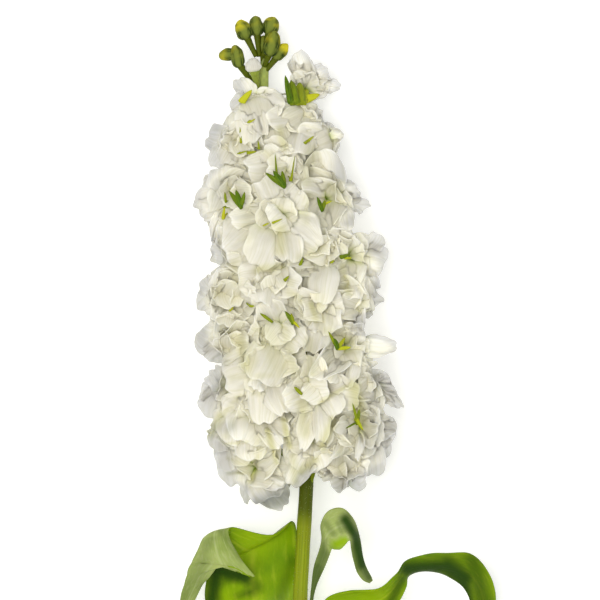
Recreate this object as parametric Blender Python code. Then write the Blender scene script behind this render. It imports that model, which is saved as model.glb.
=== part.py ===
"""A cut stem of white double stock, lying on its side with its flower head towards +Y.

The stem rises from its cut end on the surface into the head, which rests on its lower blooms.
Each bloom keeps to a cell of its own among its neighbours, and its petals stand up where that
cell is narrow. Sizes are in millimetres times MM, so everything in the scene is in metres.
The origin is under the middle of the whole plant, on the surface that it lies on.
"""

import math
import random
from dataclasses import dataclass, replace

import bmesh
import bpy
from mathutils import Matrix, Vector

MM = 0.001
SEED = 41

# The stem, from its cut end into the head: across, along and height of its middle line.
STEM_ROUTE = (
    (-5.0, 0.0, 3.2),
    (-3.0, 60.0, 10.5),
    (-0.5, 120.0, 18.0),
    (0.0, 160.0, 22.5),
    (2.6, 203.0, 25.5),
    (-2.5, 245.0, 26.0),
    (-7.5, 285.0, 24.5),
    (-11.0, 318.0, 21.5),
    (-13.3, 338.0, 20.0),
)
STEM_RADII = ((0.0, 3.2), (160.0, 3.0), (203.0, 2.9), (250.0, 2.3), (300.0, 1.7), (338.0, 1.2))
STEM_SIDES = 10
SHARP_FROM = math.radians(50)
STEM_RINGS = 12
FIRST_JOINT = 191.0
LAST_JOINT = 334.0

# How far a bloom's throat lies from the head's middle line.
THROAT_DISTANCE = (
    (197.0, 10.5),
    (216.0, 14.5),
    (232.0, 16.0),
    (249.0, 16.5),
    (275.0, 15.0),
    (300.0, 13.5),
    (317.0, 9.5),
    (335.0, 5.5),
)

# A bloom that leans far to the side still rises by this share of its distance.
LEAST_RISE = 0.3

# The stalk and green cup that carry a bloom, and the neck inside it. The neck's rings are
# its height above the throat and its radius.
STALK_RADIUS = 0.85
STALK_DROP = 10.0
STALK_SIDES = 5
STALK_BEND = 1.2
CUP_RADIUS = 2.1
CUP_LENGTH = 7.5
CUP_TAPER = 0.95
CUP_SHOULDER = 2.0
SEAT_GAP = 0.3
NECK_RINGS = ((0.0, 1.9), (1.5, 2.5), (3.1, 2.1))
NECK_SIDES = 6
NECK_HEIGHT = 4.4

# A bloom's cell: its petals are held towards the heart, and the cell is shared out from sites
# at this share of the petal length above the throat.
HEART_HEIGHT = 1.6
SITE_SHARE = 0.45
NEIGHBOUR_RANGE = 70.0
STALK_RANGE = 45.0
STEM_RANGE = 30

PETAL_THICKNESS = 0.9
LEAF_THICKNESS = 1.0
CELL_GAP = 0.35
FREE_SHARE = 0.8
LEAST_Z = PETAL_THICKNESS / 2
LAYER_STEP = 1.3
FLAT_BELOW = 0.6

# A petal: where it starts beside the bloom's line and above the throat, the form of its claw
# and limb, and the rows and columns of points that it is made of.
OUTER_PETALS = 4
START_OUT = 0.5
START_UP = 1.4
LEAST_UP = 1.1
LEAST_OUT = 0.3
NECK_OUT = 3.5
BELOW_NECK = 0.4
RIM_NOTCH = 0.06
RIM_ROUND = 0.16
PROFILE_STEPS = 8
BENT_BY = 1.5
NARROWEST = math.radians(14)
OPENING_STEP = math.radians(4)
MOST_USED = 1.5
CLAW_SHARE = 0.15
BROADEST_AT = 0.72
RIM_NARROWING = 0.3
SECTOR_SHARE = 0.93
WIDEST_SECTOR = math.radians(62)
PETAL_ROWS = (0.0, 0.36, 0.73, 1.0)
OUTER_COLUMNS = (1, 3, 5, 5)
INNER_COLUMNS = (1, 3, 3, 3)


@dataclass(frozen=True)
class Bloom:
    """One flower: where its throat is, how large it is and how it is held."""

    across: float
    along: float
    reach: float
    inner: int
    opening: float
    nod: float = 0.1
    turn: float | None = None


# Blooms on the side that faces up, from the head's tip down: across, along, petal length,
# inner petals, opening in degrees and how far the bloom leans towards the tip.
UPPER_BLOOMS = (
    Bloom(0.0, 336.5, 16.5, 2, 42, 1.2),
    Bloom(-15.0, 331.5, 12.5, 2, 66, 0.5),
    Bloom(-2.5, 326.0, 15.5, 3, 72, 0.2),
    Bloom(-18.5, 319.0, 15.5, 2, 74, 0.1),
    Bloom(6.5, 320.0, 15.0, 2, 74, 0.2),
    Bloom(-6.5, 310.5, 17.0, 4, 70, 0.1),
    Bloom(-20.5, 300.5, 17.0, 2, 76, 0.1),
    Bloom(7.0, 299.0, 19.5, 1, 78, 0.2),
    Bloom(-7.5, 293.5, 18.0, 4, 70, 0.0),
    Bloom(-19.5, 283.0, 19.0, 3, 74, -0.1),
    Bloom(4.5, 282.0, 18.0, 3, 70, 0.0),
    Bloom(14.5, 279.5, 18.5, 2, 76, 0.1),
    Bloom(-8.5, 271.5, 18.5, 4, 70, 0.0),
    Bloom(-22.0, 265.5, 18.5, 3, 74, 0.0),
    Bloom(15.5, 263.0, 18.0, 2, 76, 0.0),
    Bloom(4.0, 262.0, 18.0, 3, 70, 0.1),
    Bloom(-6.0, 254.5, 17.5, 3, 72, 0.0),
    Bloom(12.5, 248.5, 20.5, 1, 80, 0.0),
    Bloom(-20.5, 250.0, 18.5, 2, 76, -0.1),
    Bloom(-9.5, 241.0, 19.0, 4, 70, 0.1),
    Bloom(4.0, 234.5, 20.0, 3, 72, -0.1),
    Bloom(21.0, 234.5, 18.5, 2, 74, 0.0),
    Bloom(-22.0, 235.0, 18.5, 3, 74, 0.0),
    Bloom(-11.0, 226.0, 20.5, 4, 70, -0.2),
    Bloom(17.0, 221.0, 20.0, 2, 76, -0.2),
    Bloom(3.5, 217.5, 18.5, 3, 66, -0.4),
    Bloom(-21.0, 219.0, 18.5, 3, 72, -0.2),
    Bloom(-13.5, 208.0, 19.0, 3, 64, -0.7),
    Bloom(12.5, 207.5, 18.0, 3, 66, -0.6),
)

# Blooms on the side that the plant lies on, by the angle at which they stand round the head.
LOWER_BLOOMS = (
    Bloom(0.0, 207.0, 18.5, 2, 68, -0.6, 275),
    Bloom(0.0, 219.0, 19.0, 2, 74, -0.1, 222),
    Bloom(0.0, 224.0, 19.0, 2, 74, -0.1, 316),
    Bloom(0.0, 236.0, 19.5, 2, 76, 0.0, 268),
    Bloom(0.0, 250.0, 19.0, 2, 76, 0.0, 218),
    Bloom(0.0, 254.0, 19.0, 2, 76, 0.0, 314),
    Bloom(0.0, 267.0, 19.0, 2, 76, 0.0, 264),
    Bloom(0.0, 282.0, 18.5, 2, 76, 0.1, 314),
    Bloom(0.0, 286.0, 18.5, 2, 74, 0.1, 222),
    Bloom(0.0, 300.0, 18.0, 2, 74, 0.2, 268),
    Bloom(0.0, 316.0, 16.0, 2, 70, 0.3, 264),
)

# Closed buds at the tip: across, along, rise above the tip of the stem, radius and length.
BUDS = (
    (-20.3, 359.0, 1.0, 2.7, 8.0),
    (-15.0, 361.6, -1.5, 2.5, 8.5),
    (-9.8, 361.4, -1.0, 2.5, 8.0),
    (-9.3, 355.6, 4.0, 2.6, 9.5),
    (-5.8, 352.6, 0.5, 2.2, 8.0),
    (-26.0, 350.6, 0.5, 2.2, 7.0),
    (-21.6, 349.4, 3.5, 2.2, 8.5),
    (-14.5, 354.0, -5.5, 2.4, 8.5),
    (-18.0, 347.5, -5.0, 2.1, 7.0),
)
BUD_BASE = (-13.3, 338.6, 20.0)
BUD_SIDES = 6
BUD_RINGS = 4

# Leaves that show beside the stem: for each cross-section, one margin, the other margin
# and how far the rib stands out between them.
LEAF_LEFT = (
    ((-3.6, 149.0, 24.0), (-3.9, 146.0, 23.0), 0.0),
    ((-3.4, 162.0, 23.0), (-13.0, 150.0, 16.0), -1.5),
    ((-3.6, 176.0, 25.0), (-21.0, 158.0, 17.0), -2.5),
    ((-4.6, 186.0, 27.0), (-27.0, 168.0, 20.0), -2.5),
    ((-15.0, 182.5, 31.0), (-30.0, 176.0, 26.0), -1.5),
    ((-25.0, 185.0, 36.0), (-33.5, 181.5, 33.0), 1.0),
    ((-21.5, 173.0, 41.0), (-37.5, 173.5, 35.0), 2.0),
    ((-30.0, 168.0, 36.0), (-40.0, 166.5, 30.0), 1.5),
    ((-34.5, 162.0, 29.0), (-42.5, 158.5, 25.0), 1.0),
    ((-40.0, 150.0, 18.0), (-44.0, 149.0, 16.0), 0.0),
)
LEAF_MIDDLE = (
    ((3.6, 151.0, 27.0), (4.0, 149.0, 24.0), 0.0),
    ((4.2, 166.0, 33.0), (8.0, 163.0, 31.0), 0.6),
    ((6.6, 178.0, 38.0), (11.2, 176.0, 36.0), 1.0),
    ((7.6, 186.0, 40.0), (14.2, 181.5, 39.0), 1.2),
    ((10.0, 190.5, 43.0), (15.5, 185.5, 43.0), 1.2),
    ((14.4, 190.8, 46.0), (15.6, 183.0, 46.5), 1.2),
    ((18.6, 186.0, 45.0), (14.6, 179.0, 47.0), 1.2),
    ((21.0, 177.5, 40.0), (17.0, 176.5, 41.0), 0.9),
    ((23.4, 170.0, 34.0), (19.8, 170.5, 35.0), 0.6),
    ((25.4, 165.5, 30.5), (23.4, 165.0, 30.5), 0.0),
)
LEAF_RIGHT = (
    ((3.4, 145.0, 21.0), (3.8, 143.0, 20.0), 0.0),
    ((8.5, 159.5, 24.0), (14.0, 147.0, 19.0), -1.5),
    ((17.0, 163.0, 28.0), (24.0, 152.0, 22.0), -2.0),
    ((26.0, 164.5, 31.0), (29.5, 157.0, 26.0), -1.5),
    ((30.5, 171.5, 35.0), (33.0, 167.5, 29.0), -1.0),
    ((37.0, 175.5, 38.0), (38.5, 170.5, 31.0), 1.0),
    ((48.5, 177.6, 38.0), (47.0, 170.6, 31.0), 1.5),
    ((60.0, 176.0, 35.0), (54.5, 167.5, 29.0), 1.5),
    ((67.5, 168.0, 30.0), (59.0, 161.0, 25.0), 1.0),
    ((69.0, 157.0, 22.0), (61.0, 152.0, 18.0), 0.6),
    ((65.0, 145.0, 11.0), (62.0, 143.5, 10.0), 0.0),
)

# Leaves lower down, placed by a rule: where each joins the stem, its side, length and width.
LOWER_LEAVES = (
    (122.0, 1, 70.0, 16.0, 4.0),
    (113.0, -1, 84.0, 17.0, 14.0),
    (99.0, 1, 74.0, 16.0, 3.0),
    (84.0, -1, 78.0, 16.0, 9.0),
    (70.0, 1, 66.0, 14.0, 7.0),
    (55.0, -1, 62.0, 13.0, 4.0),
)
LEAF_ROWS = 10

PETAL_WHITE = (0.86, 0.84, 0.76, 1.0)
STEM_GREEN = (0.20, 0.27, 0.03, 1.0)
LEAF_GREEN = (0.22, 0.38, 0.02, 1.0)
BUD_GREEN = (0.17, 0.22, 0.05, 1.0)


def clear_scene():
    """Removes the objects that a new file starts with."""
    for thing in list(bpy.data.objects):
        bpy.data.objects.remove(thing, do_unlink=True)


def make_material(name, colour, roughness):
    """A plain Principled material of one colour."""
    material = bpy.data.materials.new(name)
    material.use_nodes = True
    shader = material.node_tree.nodes["Principled BSDF"]
    shader.inputs["Base Color"].default_value = colour
    shader.inputs["Roughness"].default_value = roughness
    shader.inputs["Metallic"].default_value = 0.0
    return material


def read_off(table, along):
    """The value of a (along, value) table at a place, in straight steps between its rows."""
    if along <= table[0][0]:
        return table[0][1]
    for (start, low), (end, high) in zip(table, table[1:]):
        if along <= end:
            return low + (high - low) * (along - start) / (end - start)
    return table[-1][1]


def curve_through(points, share):
    """A place on the smooth curve through the points, share running from 0 to 1."""
    place = min(max(share, 0.0), 1.0) * (len(points) - 1)
    index = min(int(place), len(points) - 2)
    t = place - index
    before, start = points[max(index - 1, 0)], points[index]
    end, after = points[index + 1], points[min(index + 2, len(points) - 1)]
    return (
        start * 2
        + (end - before) * t
        + (before * 2 - start * 5 + end * 4 - after) * t * t
        + (start * 3 - before - end * 3 + after) * t * t * t
    ) / 2


def stem_middle(along):
    """The middle of the stem at a distance from the cut end, in millimetres."""
    route = [Vector(point) for point in STEM_ROUTE]
    for index, (start, end) in enumerate(zip(route, route[1:])):
        if along <= end.y or end is route[-1]:
            t = (along - start.y) / (end.y - start.y)
            return curve_through(route, (index + min(t, 1.0)) / (len(route) - 1))
    return route[-1]


def new_object(name, vertices, faces, material):
    """An object in metres from points in millimetres."""
    mesh = bpy.data.meshes.new(name)
    mesh.from_pydata([point * MM for point in vertices], [], faces)
    mesh.materials.append(material)
    made = bpy.data.objects.new(name, mesh)
    bpy.context.scene.collection.objects.link(made)
    return made


def bodies_of(shape):
    """The connected bodies of a bmesh, each a set of its vertices, the largest first."""
    left = set(shape.verts)
    bodies = []
    while left:
        waiting = [left.pop()]
        body = set(waiting)
        while waiting:
            for edge in waiting.pop().link_edges:
                fresh = [vertex for vertex in edge.verts if vertex in left]
                left.difference_update(fresh)
                body.update(fresh)
                waiting.extend(fresh)
        bodies.append(body)
    return sorted(bodies, key=len, reverse=True)


def is_one_body(mesh):
    """Whether a mesh is closed and all in one piece."""
    shape = bmesh.new()
    shape.from_mesh(mesh)
    closed = bool(shape.faces) and all(edge.is_manifold for edge in shape.edges)
    whole = len(bodies_of(shape)) == 1
    shape.free()
    return closed and whole


def keep_largest(mesh):
    """Keeps only the largest body of a mesh."""
    shape = bmesh.new()
    shape.from_mesh(mesh)
    loose = [vertex for body in bodies_of(shape)[1:] for vertex in body]
    bmesh.ops.delete(shape, geom=loose, context="VERTS")
    shape.to_mesh(mesh)
    shape.free()


def joined_mesh(base, pieces, solver):
    """The mesh of the base with the pieces added to it by a Boolean union."""
    gathered = bpy.data.collections.new("to join")
    bpy.context.scene.collection.children.link(gathered)
    for piece in pieces:
        bpy.context.scene.collection.objects.unlink(piece)
        gathered.objects.link(piece)
    union = base.modifiers.new("union", "BOOLEAN")
    union.operation = "UNION"
    union.operand_type = "COLLECTION"
    union.collection = gathered
    union.solver = solver
    bpy.context.view_layer.update()
    graph = bpy.context.evaluated_depsgraph_get()
    mesh = bpy.data.meshes.new_from_object(base.evaluated_get(graph))
    base.modifiers.remove(union)
    for piece in pieces:
        gathered.objects.unlink(piece)
        bpy.context.scene.collection.objects.link(piece)
    bpy.data.collections.remove(gathered)
    return mesh


def fuse(base, pieces):
    """Fuses the pieces into the base, which keeps its name, and removes them."""
    for solver in ("EXACT", "MANIFOLD"):
        mesh = joined_mesh(base, pieces, solver)
        if is_one_body(mesh):
            break
    keep_largest(mesh)
    base.data = mesh
    for piece in pieces:
        bpy.data.objects.remove(piece, do_unlink=True)
    return base


def strip_between(first, second):
    """Triangles between two rows of a blade, first and second being their vertex keys."""
    faces = []
    if len(first) == len(second):
        for i in range(len(first) - 1):
            a, b, c, d = first[i], second[i], second[i + 1], first[i + 1]
            if 2 * i < len(first) - 1:
                faces += [(a, b, d), (d, b, c)]
            else:
                faces += [(a, b, c), (a, c, d)]
        return faces
    i = j = 0
    while i < len(first) - 1 or j < len(second) - 1:
        step_first = (i + 1) / max(len(first) - 1, 0.5)
        step_second = (j + 1) / max(len(second) - 1, 0.5)
        if j < len(second) - 1 and (i == len(first) - 1 or step_second <= step_first):
            faces.append((first[i], second[j], second[j + 1]))
            j += 1
        else:
            faces.append((first[i], second[j], first[i + 1]))
            i += 1
    return faces


def blade(name, rows, thickness, material):
    """A closed blade round rows of middle points: full thickness inside, sharp at the rim."""
    keys = [[(r, c) for c in range(len(row))] for r, row in enumerate(rows)]
    middle = {(r, c): point for r, row in enumerate(rows) for c, point in enumerate(row)}
    triangles = []
    for first, second in zip(keys, keys[1:]):
        triangles += strip_between(first, second)
    normals = {key: Vector() for key in middle}
    for a, b, c in triangles:
        normal = (middle[b] - middle[a]).cross(middle[c] - middle[a])
        for key in (a, b, c):
            normals[key] += normal
    last = len(rows) - 1
    vertices, upper, lower = [], {}, {}
    for key, point in middle.items():
        row, column = key
        if row in (0, last) or column in (0, len(rows[row]) - 1):
            upper[key] = lower[key] = len(vertices)
            vertices.append(point)
            continue
        offset = normals[key].normalized() * (thickness / 2)
        upper[key], lower[key] = len(vertices), len(vertices) + 1
        vertices += [point + offset, point - offset]
    faces = [tuple(upper[key] for key in face) for face in triangles]
    faces += [tuple(lower[key] for key in reversed(face)) for face in triangles]
    return new_object(name, vertices, faces, material)


def tube(name, route, radii, sides, material, twist=0.0):
    """A closed tube of flat sides along a route, with flat ends."""
    vertices, faces = [], []
    side_way = Vector((1, 0, 0))
    for index, point in enumerate(route):
        ahead = route[min(index + 1, len(route) - 1)] - route[max(index - 1, 0)]
        ahead.normalize()
        side_way = (side_way - ahead * side_way.dot(ahead)).normalized()
        up_way = ahead.cross(side_way)
        for corner in range(sides):
            angle = 2 * math.pi * (corner + 0.5) / sides + twist
            reach = side_way * math.cos(angle) + up_way * math.sin(angle)
            vertices.append(point + reach * radii[index])
    for ring in range(len(route) - 1):
        for corner in range(sides):
            after = (corner + 1) % sides
            a, b = ring * sides + corner, ring * sides + after
            faces.append((a, b, b + sides, a + sides))
    faces.append(tuple(reversed(range(sides))))
    faces.append(tuple(range((len(route) - 1) * sides, len(route) * sides)))
    made = new_object(name, vertices, faces, material)
    shape = bmesh.new()
    shape.from_mesh(made.data)
    bmesh.ops.recalc_face_normals(shape, faces=shape.faces)
    shape.to_mesh(made.data)
    shape.free()
    return made


class Flower:
    """Where one bloom is and which way it faces, worked out from its row in the lists."""

    def __init__(self, number, bloom):
        self.number = number
        self.bloom = bloom
        self.draw = random.Random(SEED * 1000 + number)
        middle = stem_middle(bloom.along)
        distance = read_off(THROAT_DISTANCE, bloom.along)
        if bloom.turn is None:
            aside = bloom.across - middle.x
            rise = math.sqrt(max(distance**2 - aside**2, (LEAST_RISE * distance) ** 2))
            outward = Vector((aside, 0.0, rise))
        else:
            angle = math.radians(bloom.turn)
            outward = Vector((math.cos(angle), 0.0, math.sin(angle))) * distance
        self.throat = middle + outward
        self.facing = (outward.normalized() + Vector((0.0, bloom.nod, 0.0))).normalized()
        self.heart = self.throat + self.facing * HEART_HEIGHT
        self.site = self.throat + self.facing * (SITE_SHARE * bloom.reach)
        self.side = self.facing.cross(Vector((0.0, 1.0, 0.05))).normalized()
        self.over = self.facing.cross(self.side)
        joint = max(bloom.along - STALK_DROP, FIRST_JOINT)
        self.joint = stem_middle(min(joint, LAST_JOINT))
        self.cup_end = self.throat - self.facing * SEAT_GAP
        self.cup_start = self.cup_end - self.facing * CUP_LENGTH
        self.walls = []

    def spot(self, turn, out, up):
        """A point at an angle round the bloom's own line, this far out from it and along it."""
        spread = self.side * math.cos(turn) + self.over * math.sin(turn)
        return self.throat + spread * out + self.facing * up

    def add_wall(self, normal, room_at, gap):
        """A flat wall through room_at, square to normal, that this bloom keeps inside."""
        self.walls.append((normal, (room_at - self.heart).dot(normal) - gap))

    def used(self, point):
        """How much of the room towards a point is used: 1 is at the wall."""
        ray = point - self.heart
        return max([0.0] + [ray.dot(normal) / room for normal, room in self.walls])

    def hold(self, point, layer=0):
        """The point, laid on the surface if it is below it and drawn back inside the walls."""
        point = point.copy()
        point.z = max(point.z, LEAST_Z + layer * LAYER_STEP)
        used = self.used(point)
        if used <= FREE_SHARE:
            return point
        left = 1.0 - FREE_SHARE
        held = FREE_SHARE + left * (1.0 - math.exp((FREE_SHARE - used) / left))
        return self.heart + (point - self.heart) * (held / used)


def nearest_on_line(start, end, point):
    """The place on a straight stretch that is nearest to a point."""
    along = end - start
    share = (point - start).dot(along) / along.length_squared
    return start + along * min(max(share, 0.0), 1.0)


def set_walls(flowers):
    """Gives each bloom walls against its neighbours, their stalks and the stem."""
    rim_gap = CELL_GAP / 2 + PETAL_THICKNESS / 2
    for flower in flowers:
        for other in flowers:
            if other is flower:
                continue
            between = other.site - flower.site
            apart = between.length
            if apart > NEIGHBOUR_RANGE:
                continue
            normal = between / apart
            share = (apart**2 + flower.bloom.reach**2 - other.bloom.reach**2) / (2 * apart)
            flower.add_wall(normal, flower.site + normal * share, rim_gap)
            for start, end, radius in (
                (other.joint, other.cup_start, STALK_RADIUS),
                (other.cup_start, other.cup_end, CUP_RADIUS),
            ):
                near = nearest_on_line(start, end, flower.heart)
                away = near - flower.heart
                if away.length < STALK_RANGE:
                    flower.add_wall(away.normalized(), near, radius + rim_gap)
        nearby = [flower.bloom.along + step for step in range(-STEM_RANGE, STEM_RANGE + 1)]
        near = min(map(stem_middle, nearby), key=lambda point: (point - flower.heart).length)
        radius = read_off(STEM_RADII, near.y)
        flower.add_wall((near - flower.heart).normalized(), near, radius + rim_gap)


def petal_outline(v):
    """A petal's half-width at v along it, as a share of the most: a narrow claw, a broad limb."""
    if v < BROADEST_AT:
        return CLAW_SHARE + (1 - CLAW_SHARE) * math.sin(math.pi / 2 * v / BROADEST_AT) ** 1.6
    return 1 - RIM_NARROWING * ((v - BROADEST_AT) / (1 - BROADEST_AT)) ** 2


@dataclass(frozen=True)
class Petal:
    """One petal of a bloom: its place round the throat, its share of the turn and its form."""

    turn: float
    sector: float
    length: float
    half_width: float
    start_angle: float
    opening: float
    cup: float
    wave: float
    phase: float
    lobes: float
    layer: int
    columns: tuple


def petal_point(flower, petal, opening, u, v):
    """The middle of a petal at u across it (-1 to 1) and v along it (0 to 1), unheld.

    The petal runs round the bloom's own line inside its sector, so that it crosses no other.
    """
    notch = RIM_NOTCH * max(0.0, 5 * v - 4) * (1 - abs(u))
    length = petal.length * v * (1 - RIM_ROUND * (u * v) ** 2 - notch)
    out, up, angle = START_OUT, START_UP, petal.start_angle
    for step in range(PROFILE_STEPS):
        share = (step + 0.5) / PROFILE_STEPS * v
        angle = petal.start_angle + (opening - petal.start_angle) * min(1.0, BENT_BY * share)
        out += math.sin(angle) * length / PROFILE_STEPS
        up += math.cos(angle) * length / PROFILE_STEPS
    lift = petal.cup * petal.half_width * u * u * v
    lift += petal.wave * math.sin(petal.lobes * u * math.pi + petal.phase) * v**1.5
    width = petal.half_width * petal_outline(v) * u
    swing = petal.sector * math.tanh(width / out / petal.sector)
    out = max(LEAST_OUT, out - lift * math.cos(angle))
    up += lift * math.sin(angle)
    least = LEAST_UP - BELOW_NECK * max(0.0, out - NECK_OUT)
    return flower.spot(petal.turn + swing, out, max(up, least))


def fitting_opening(flower, petal):
    """The widest opening up to the petal's own at which its end fits inside the cell."""
    best, best_used = petal.opening, 99.0
    angle = petal.opening
    while angle > NARROWEST:
        used = 0.0
        for u, v in ((0.0, 1.0), (-0.8, 0.85), (0.8, 0.85)):
            point = petal_point(flower, petal, angle, u, v)
            point.z = max(point.z, LEAST_Z)
            used = max(used, flower.used(point))
        if used < MOST_USED:
            return angle
        if used < best_used:
            best, best_used = angle, used
        angle -= OPENING_STEP
    return best


def petals_of(flower):
    """A bloom's petals: four outer ones crosswise and some inner ones that stand up more."""
    draw, bloom = flower.draw, flower.bloom
    outer, inner = OUTER_PETALS, bloom.inner
    first = draw.uniform(0, math.pi / 2)
    made, steepest = [], math.radians(90)
    for index in range(outer + inner):
        is_inner = index >= outer
        count = inner if is_inner else outer
        slot = index - outer if is_inner else index
        petal = Petal(
            turn=first + 2 * math.pi * (slot + (0.5 if is_inner else 0.0)) / count,
            sector=min(math.pi / count, WIDEST_SECTOR) * SECTOR_SHARE,
            length=bloom.reach * draw.uniform(0.92, 1.08) * (0.82 if is_inner else 1.0),
            half_width=bloom.reach * draw.uniform(0.68, 0.8) * (0.72 if is_inner else 1.0),
            start_angle=math.radians(4 if is_inner else 26),
            opening=math.radians(bloom.opening + draw.uniform(-8, 8)),
            cup=draw.uniform(-0.25, 0.3) * (0.5 if is_inner else 1.0),
            wave=draw.uniform(0.7, 1.5) * (0.6 if is_inner else 1.0),
            phase=draw.uniform(0, 2 * math.pi),
            lobes=draw.uniform(0.8, 1.4),
            layer=1 + slot if is_inner else 0,
            columns=INNER_COLUMNS if is_inner else OUTER_COLUMNS,
        )
        if is_inner:
            petal = replace(petal, opening=max(steepest * 0.55, math.radians(6)))
        else:
            petal = replace(petal, opening=fitting_opening(flower, petal))
            steepest = min(steepest, petal.opening)
        made.append(petal)
    return made


def petal_rows(flower, petal):
    """The petal's middle points, row by row, each held inside the bloom's own cell."""
    rows = []
    for v, count in zip(PETAL_ROWS, petal.columns):
        row = []
        for column in range(count):
            u = 2 * column / (count - 1) - 1 if count > 1 else 0.0
            row.append(flower.hold(petal_point(flower, petal, petal.opening, u, v), petal.layer))
        rows.append(row)
    return rows


def lay_flat(thing):
    """Lays the points of a piece that are close to the surface on it."""
    for vertex in thing.data.vertices:
        if vertex.co.z < FLAT_BELOW * MM:
            vertex.co.z = 0.0


def bloom_core(flower, material, name):
    """The short neck that a bloom's petals grow from, flat where it sits on its green cup."""
    sides = NECK_SIDES
    turns = [2 * math.pi * k / sides for k in range(sides)]
    vertices = []
    for up, out in NECK_RINGS:
        vertices += [flower.hold(flower.spot(turn, out, up)) for turn in turns]
    vertices.append(flower.hold(flower.spot(0, 0, NECK_HEIGHT)))
    faces = [tuple(reversed(range(sides)))]
    for ring in range(len(NECK_RINGS) - 1):
        for k in range(sides):
            a, b = ring * sides + k, ring * sides + (k + 1) % sides
            faces.append((a, b, b + sides, a + sides))
    top = (len(NECK_RINGS) - 1) * sides
    faces += [(top + k, top + (k + 1) % sides, len(vertices) - 1) for k in range(sides)]
    return new_object(name, vertices, faces, material)


def make_bloom(flower, material):
    """One bloom: its neck and petals fused into one solid."""
    core = bloom_core(flower, material, f"bloom_{flower.number:02d}")
    pieces = []
    for petal in petals_of(flower):
        piece = blade("petal", petal_rows(flower, petal), PETAL_THICKNESS, material)
        lay_flat(piece)
        pieces.append(piece)
    return fuse(core, pieces)


def make_stem(flowers, material):
    """The stem with the stalk and green cup of every bloom, fused into one solid."""
    last = STEM_ROUTE[-1][1]
    places = [last * ring / (STEM_RINGS - 1) for ring in range(STEM_RINGS)]
    route = [stem_middle(place) for place in places]
    radii = [read_off(STEM_RADII, place) for place in places]
    stem = tube("stem", route, radii, STEM_SIDES, material)
    stalks = []
    for flower in flowers:
        ahead = (stem_middle(flower.joint.y + 1) - flower.joint).normalized()
        bend = flower.joint.lerp(flower.cup_start, 0.55) + ahead * STALK_BEND
        shoulder = flower.cup_start + flower.facing * CUP_SHOULDER
        line = [flower.joint, bend, shoulder, flower.cup_end]
        widths = [STALK_RADIUS, STALK_RADIUS, CUP_RADIUS, CUP_RADIUS * CUP_TAPER]
        stalks.append(tube(f"stalk {flower.number}", line, widths, STALK_SIDES, material))
    return fuse(stem, stalks)


def bud(name, centre, line, radius, length, material):
    """A closed bud, pointed ahead and full in the middle."""
    turn = line.to_track_quat("Z", "Y").to_matrix()
    vertices = [centre - line * (length / 2)]
    for ring in range(1, BUD_RINGS):
        share = ring / BUD_RINGS
        width = radius * math.sin(math.pi * share**0.85)
        for k in range(BUD_SIDES):
            angle = 2 * math.pi * (k + 0.5 * (ring % 2)) / BUD_SIDES
            place = Vector((width * math.cos(angle), width * math.sin(angle), (share - 0.5) * length))
            vertices.append(centre + turn @ place)
    vertices.append(centre + line * (length / 2))
    end = len(vertices) - 1
    faces = []
    for k in range(BUD_SIDES):
        after = (k + 1) % BUD_SIDES
        faces.append((0, 1 + after, 1 + k))
        start = 1 + (BUD_RINGS - 2) * BUD_SIDES
        faces.append((start + k, start + after, end))
        for ring in range(BUD_RINGS - 2):
            a, b = 1 + ring * BUD_SIDES + k, 1 + ring * BUD_SIDES + after
            if ring % 2 == 0:
                faces += [(a, b, a + BUD_SIDES), (b, b + BUD_SIDES, a + BUD_SIDES)]
            else:
                faces += [(a, b, b + BUD_SIDES), (a, b + BUD_SIDES, a + BUD_SIDES)]
    made = new_object(name, vertices, faces, material)
    shape = bmesh.new()
    shape.from_mesh(made.data)
    bmesh.ops.recalc_face_normals(shape, faces=shape.faces)
    shape.to_mesh(made.data)
    shape.free()
    return made


def make_buds(material):
    """The closed buds at the tip on their short stalks, fused into one solid."""
    base = Vector(BUD_BASE)
    crown = base + Vector((-0.6, 8.5, 0.5))
    core = tube("bud_cluster", [base, base.lerp(crown, 0.5), crown], [1.2, 1.5, 1.9], 7, material)
    pieces = []
    for index, (across, along, rise, radius, length) in enumerate(BUDS):
        centre = Vector((across, along, base.z + rise))
        root = base + Vector((-0.3, 1.5 + 6.0 * min(1.0, max(0.0, (along - 346) / 12)), 0.0))
        line = (centre - root).normalized()
        pieces.append(bud(f"bud {index}", centre, line, radius, length, material))
        neck = centre - line * (length * 0.3)
        pieces.append(tube(f"bud stalk {index}", [root, neck], [0.8, 1.0], 5, material))
    return fuse(core, pieces)


def leaf_from_sections(name, sections, material, wave=0.8, lobes=3.0):
    """A leaf whose margins and rib run smoothly through its cross-sections."""
    left = [Vector(section[0]) for section in sections]
    right = [Vector(section[1]) for section in sections]
    keel = [Vector((section[2], 0.0, 0.0)) for section in sections]
    rows = []
    for row in range(LEAF_ROWS + 1):
        share = row / LEAF_ROWS
        a, b = curve_through(left, share), curve_through(right, share)
        after = min(share + 0.02, 1.0)
        before = max(share - 0.02, 0.0)
        ahead = (curve_through(left, after) + curve_through(right, after)) / 2
        ahead -= (curve_through(left, before) + curve_through(right, before)) / 2
        normal = (b - a).cross(ahead).normalized()
        bulge = curve_through(keel, share).x
        if row in (0, LEAF_ROWS):
            rows.append([(a + b) / 2])
            continue
        points = []
        for column in range(5):
            u = column / 2 - 1
            lift = bulge * (1 - u * u)
            lift += wave * abs(u) ** 2 * math.sin(math.pi * (lobes * share * 2 + (0.5 if u > 0 else 0.0)))
            point = a.lerp(b, (u + 1) / 2) + normal * lift
            point.z = max(point.z, LEAF_THICKNESS / 2)
            points.append(point)
        rows.append(points)
    made = blade(name, rows, LEAF_THICKNESS, material)
    lay_flat(made)
    return made


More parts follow.
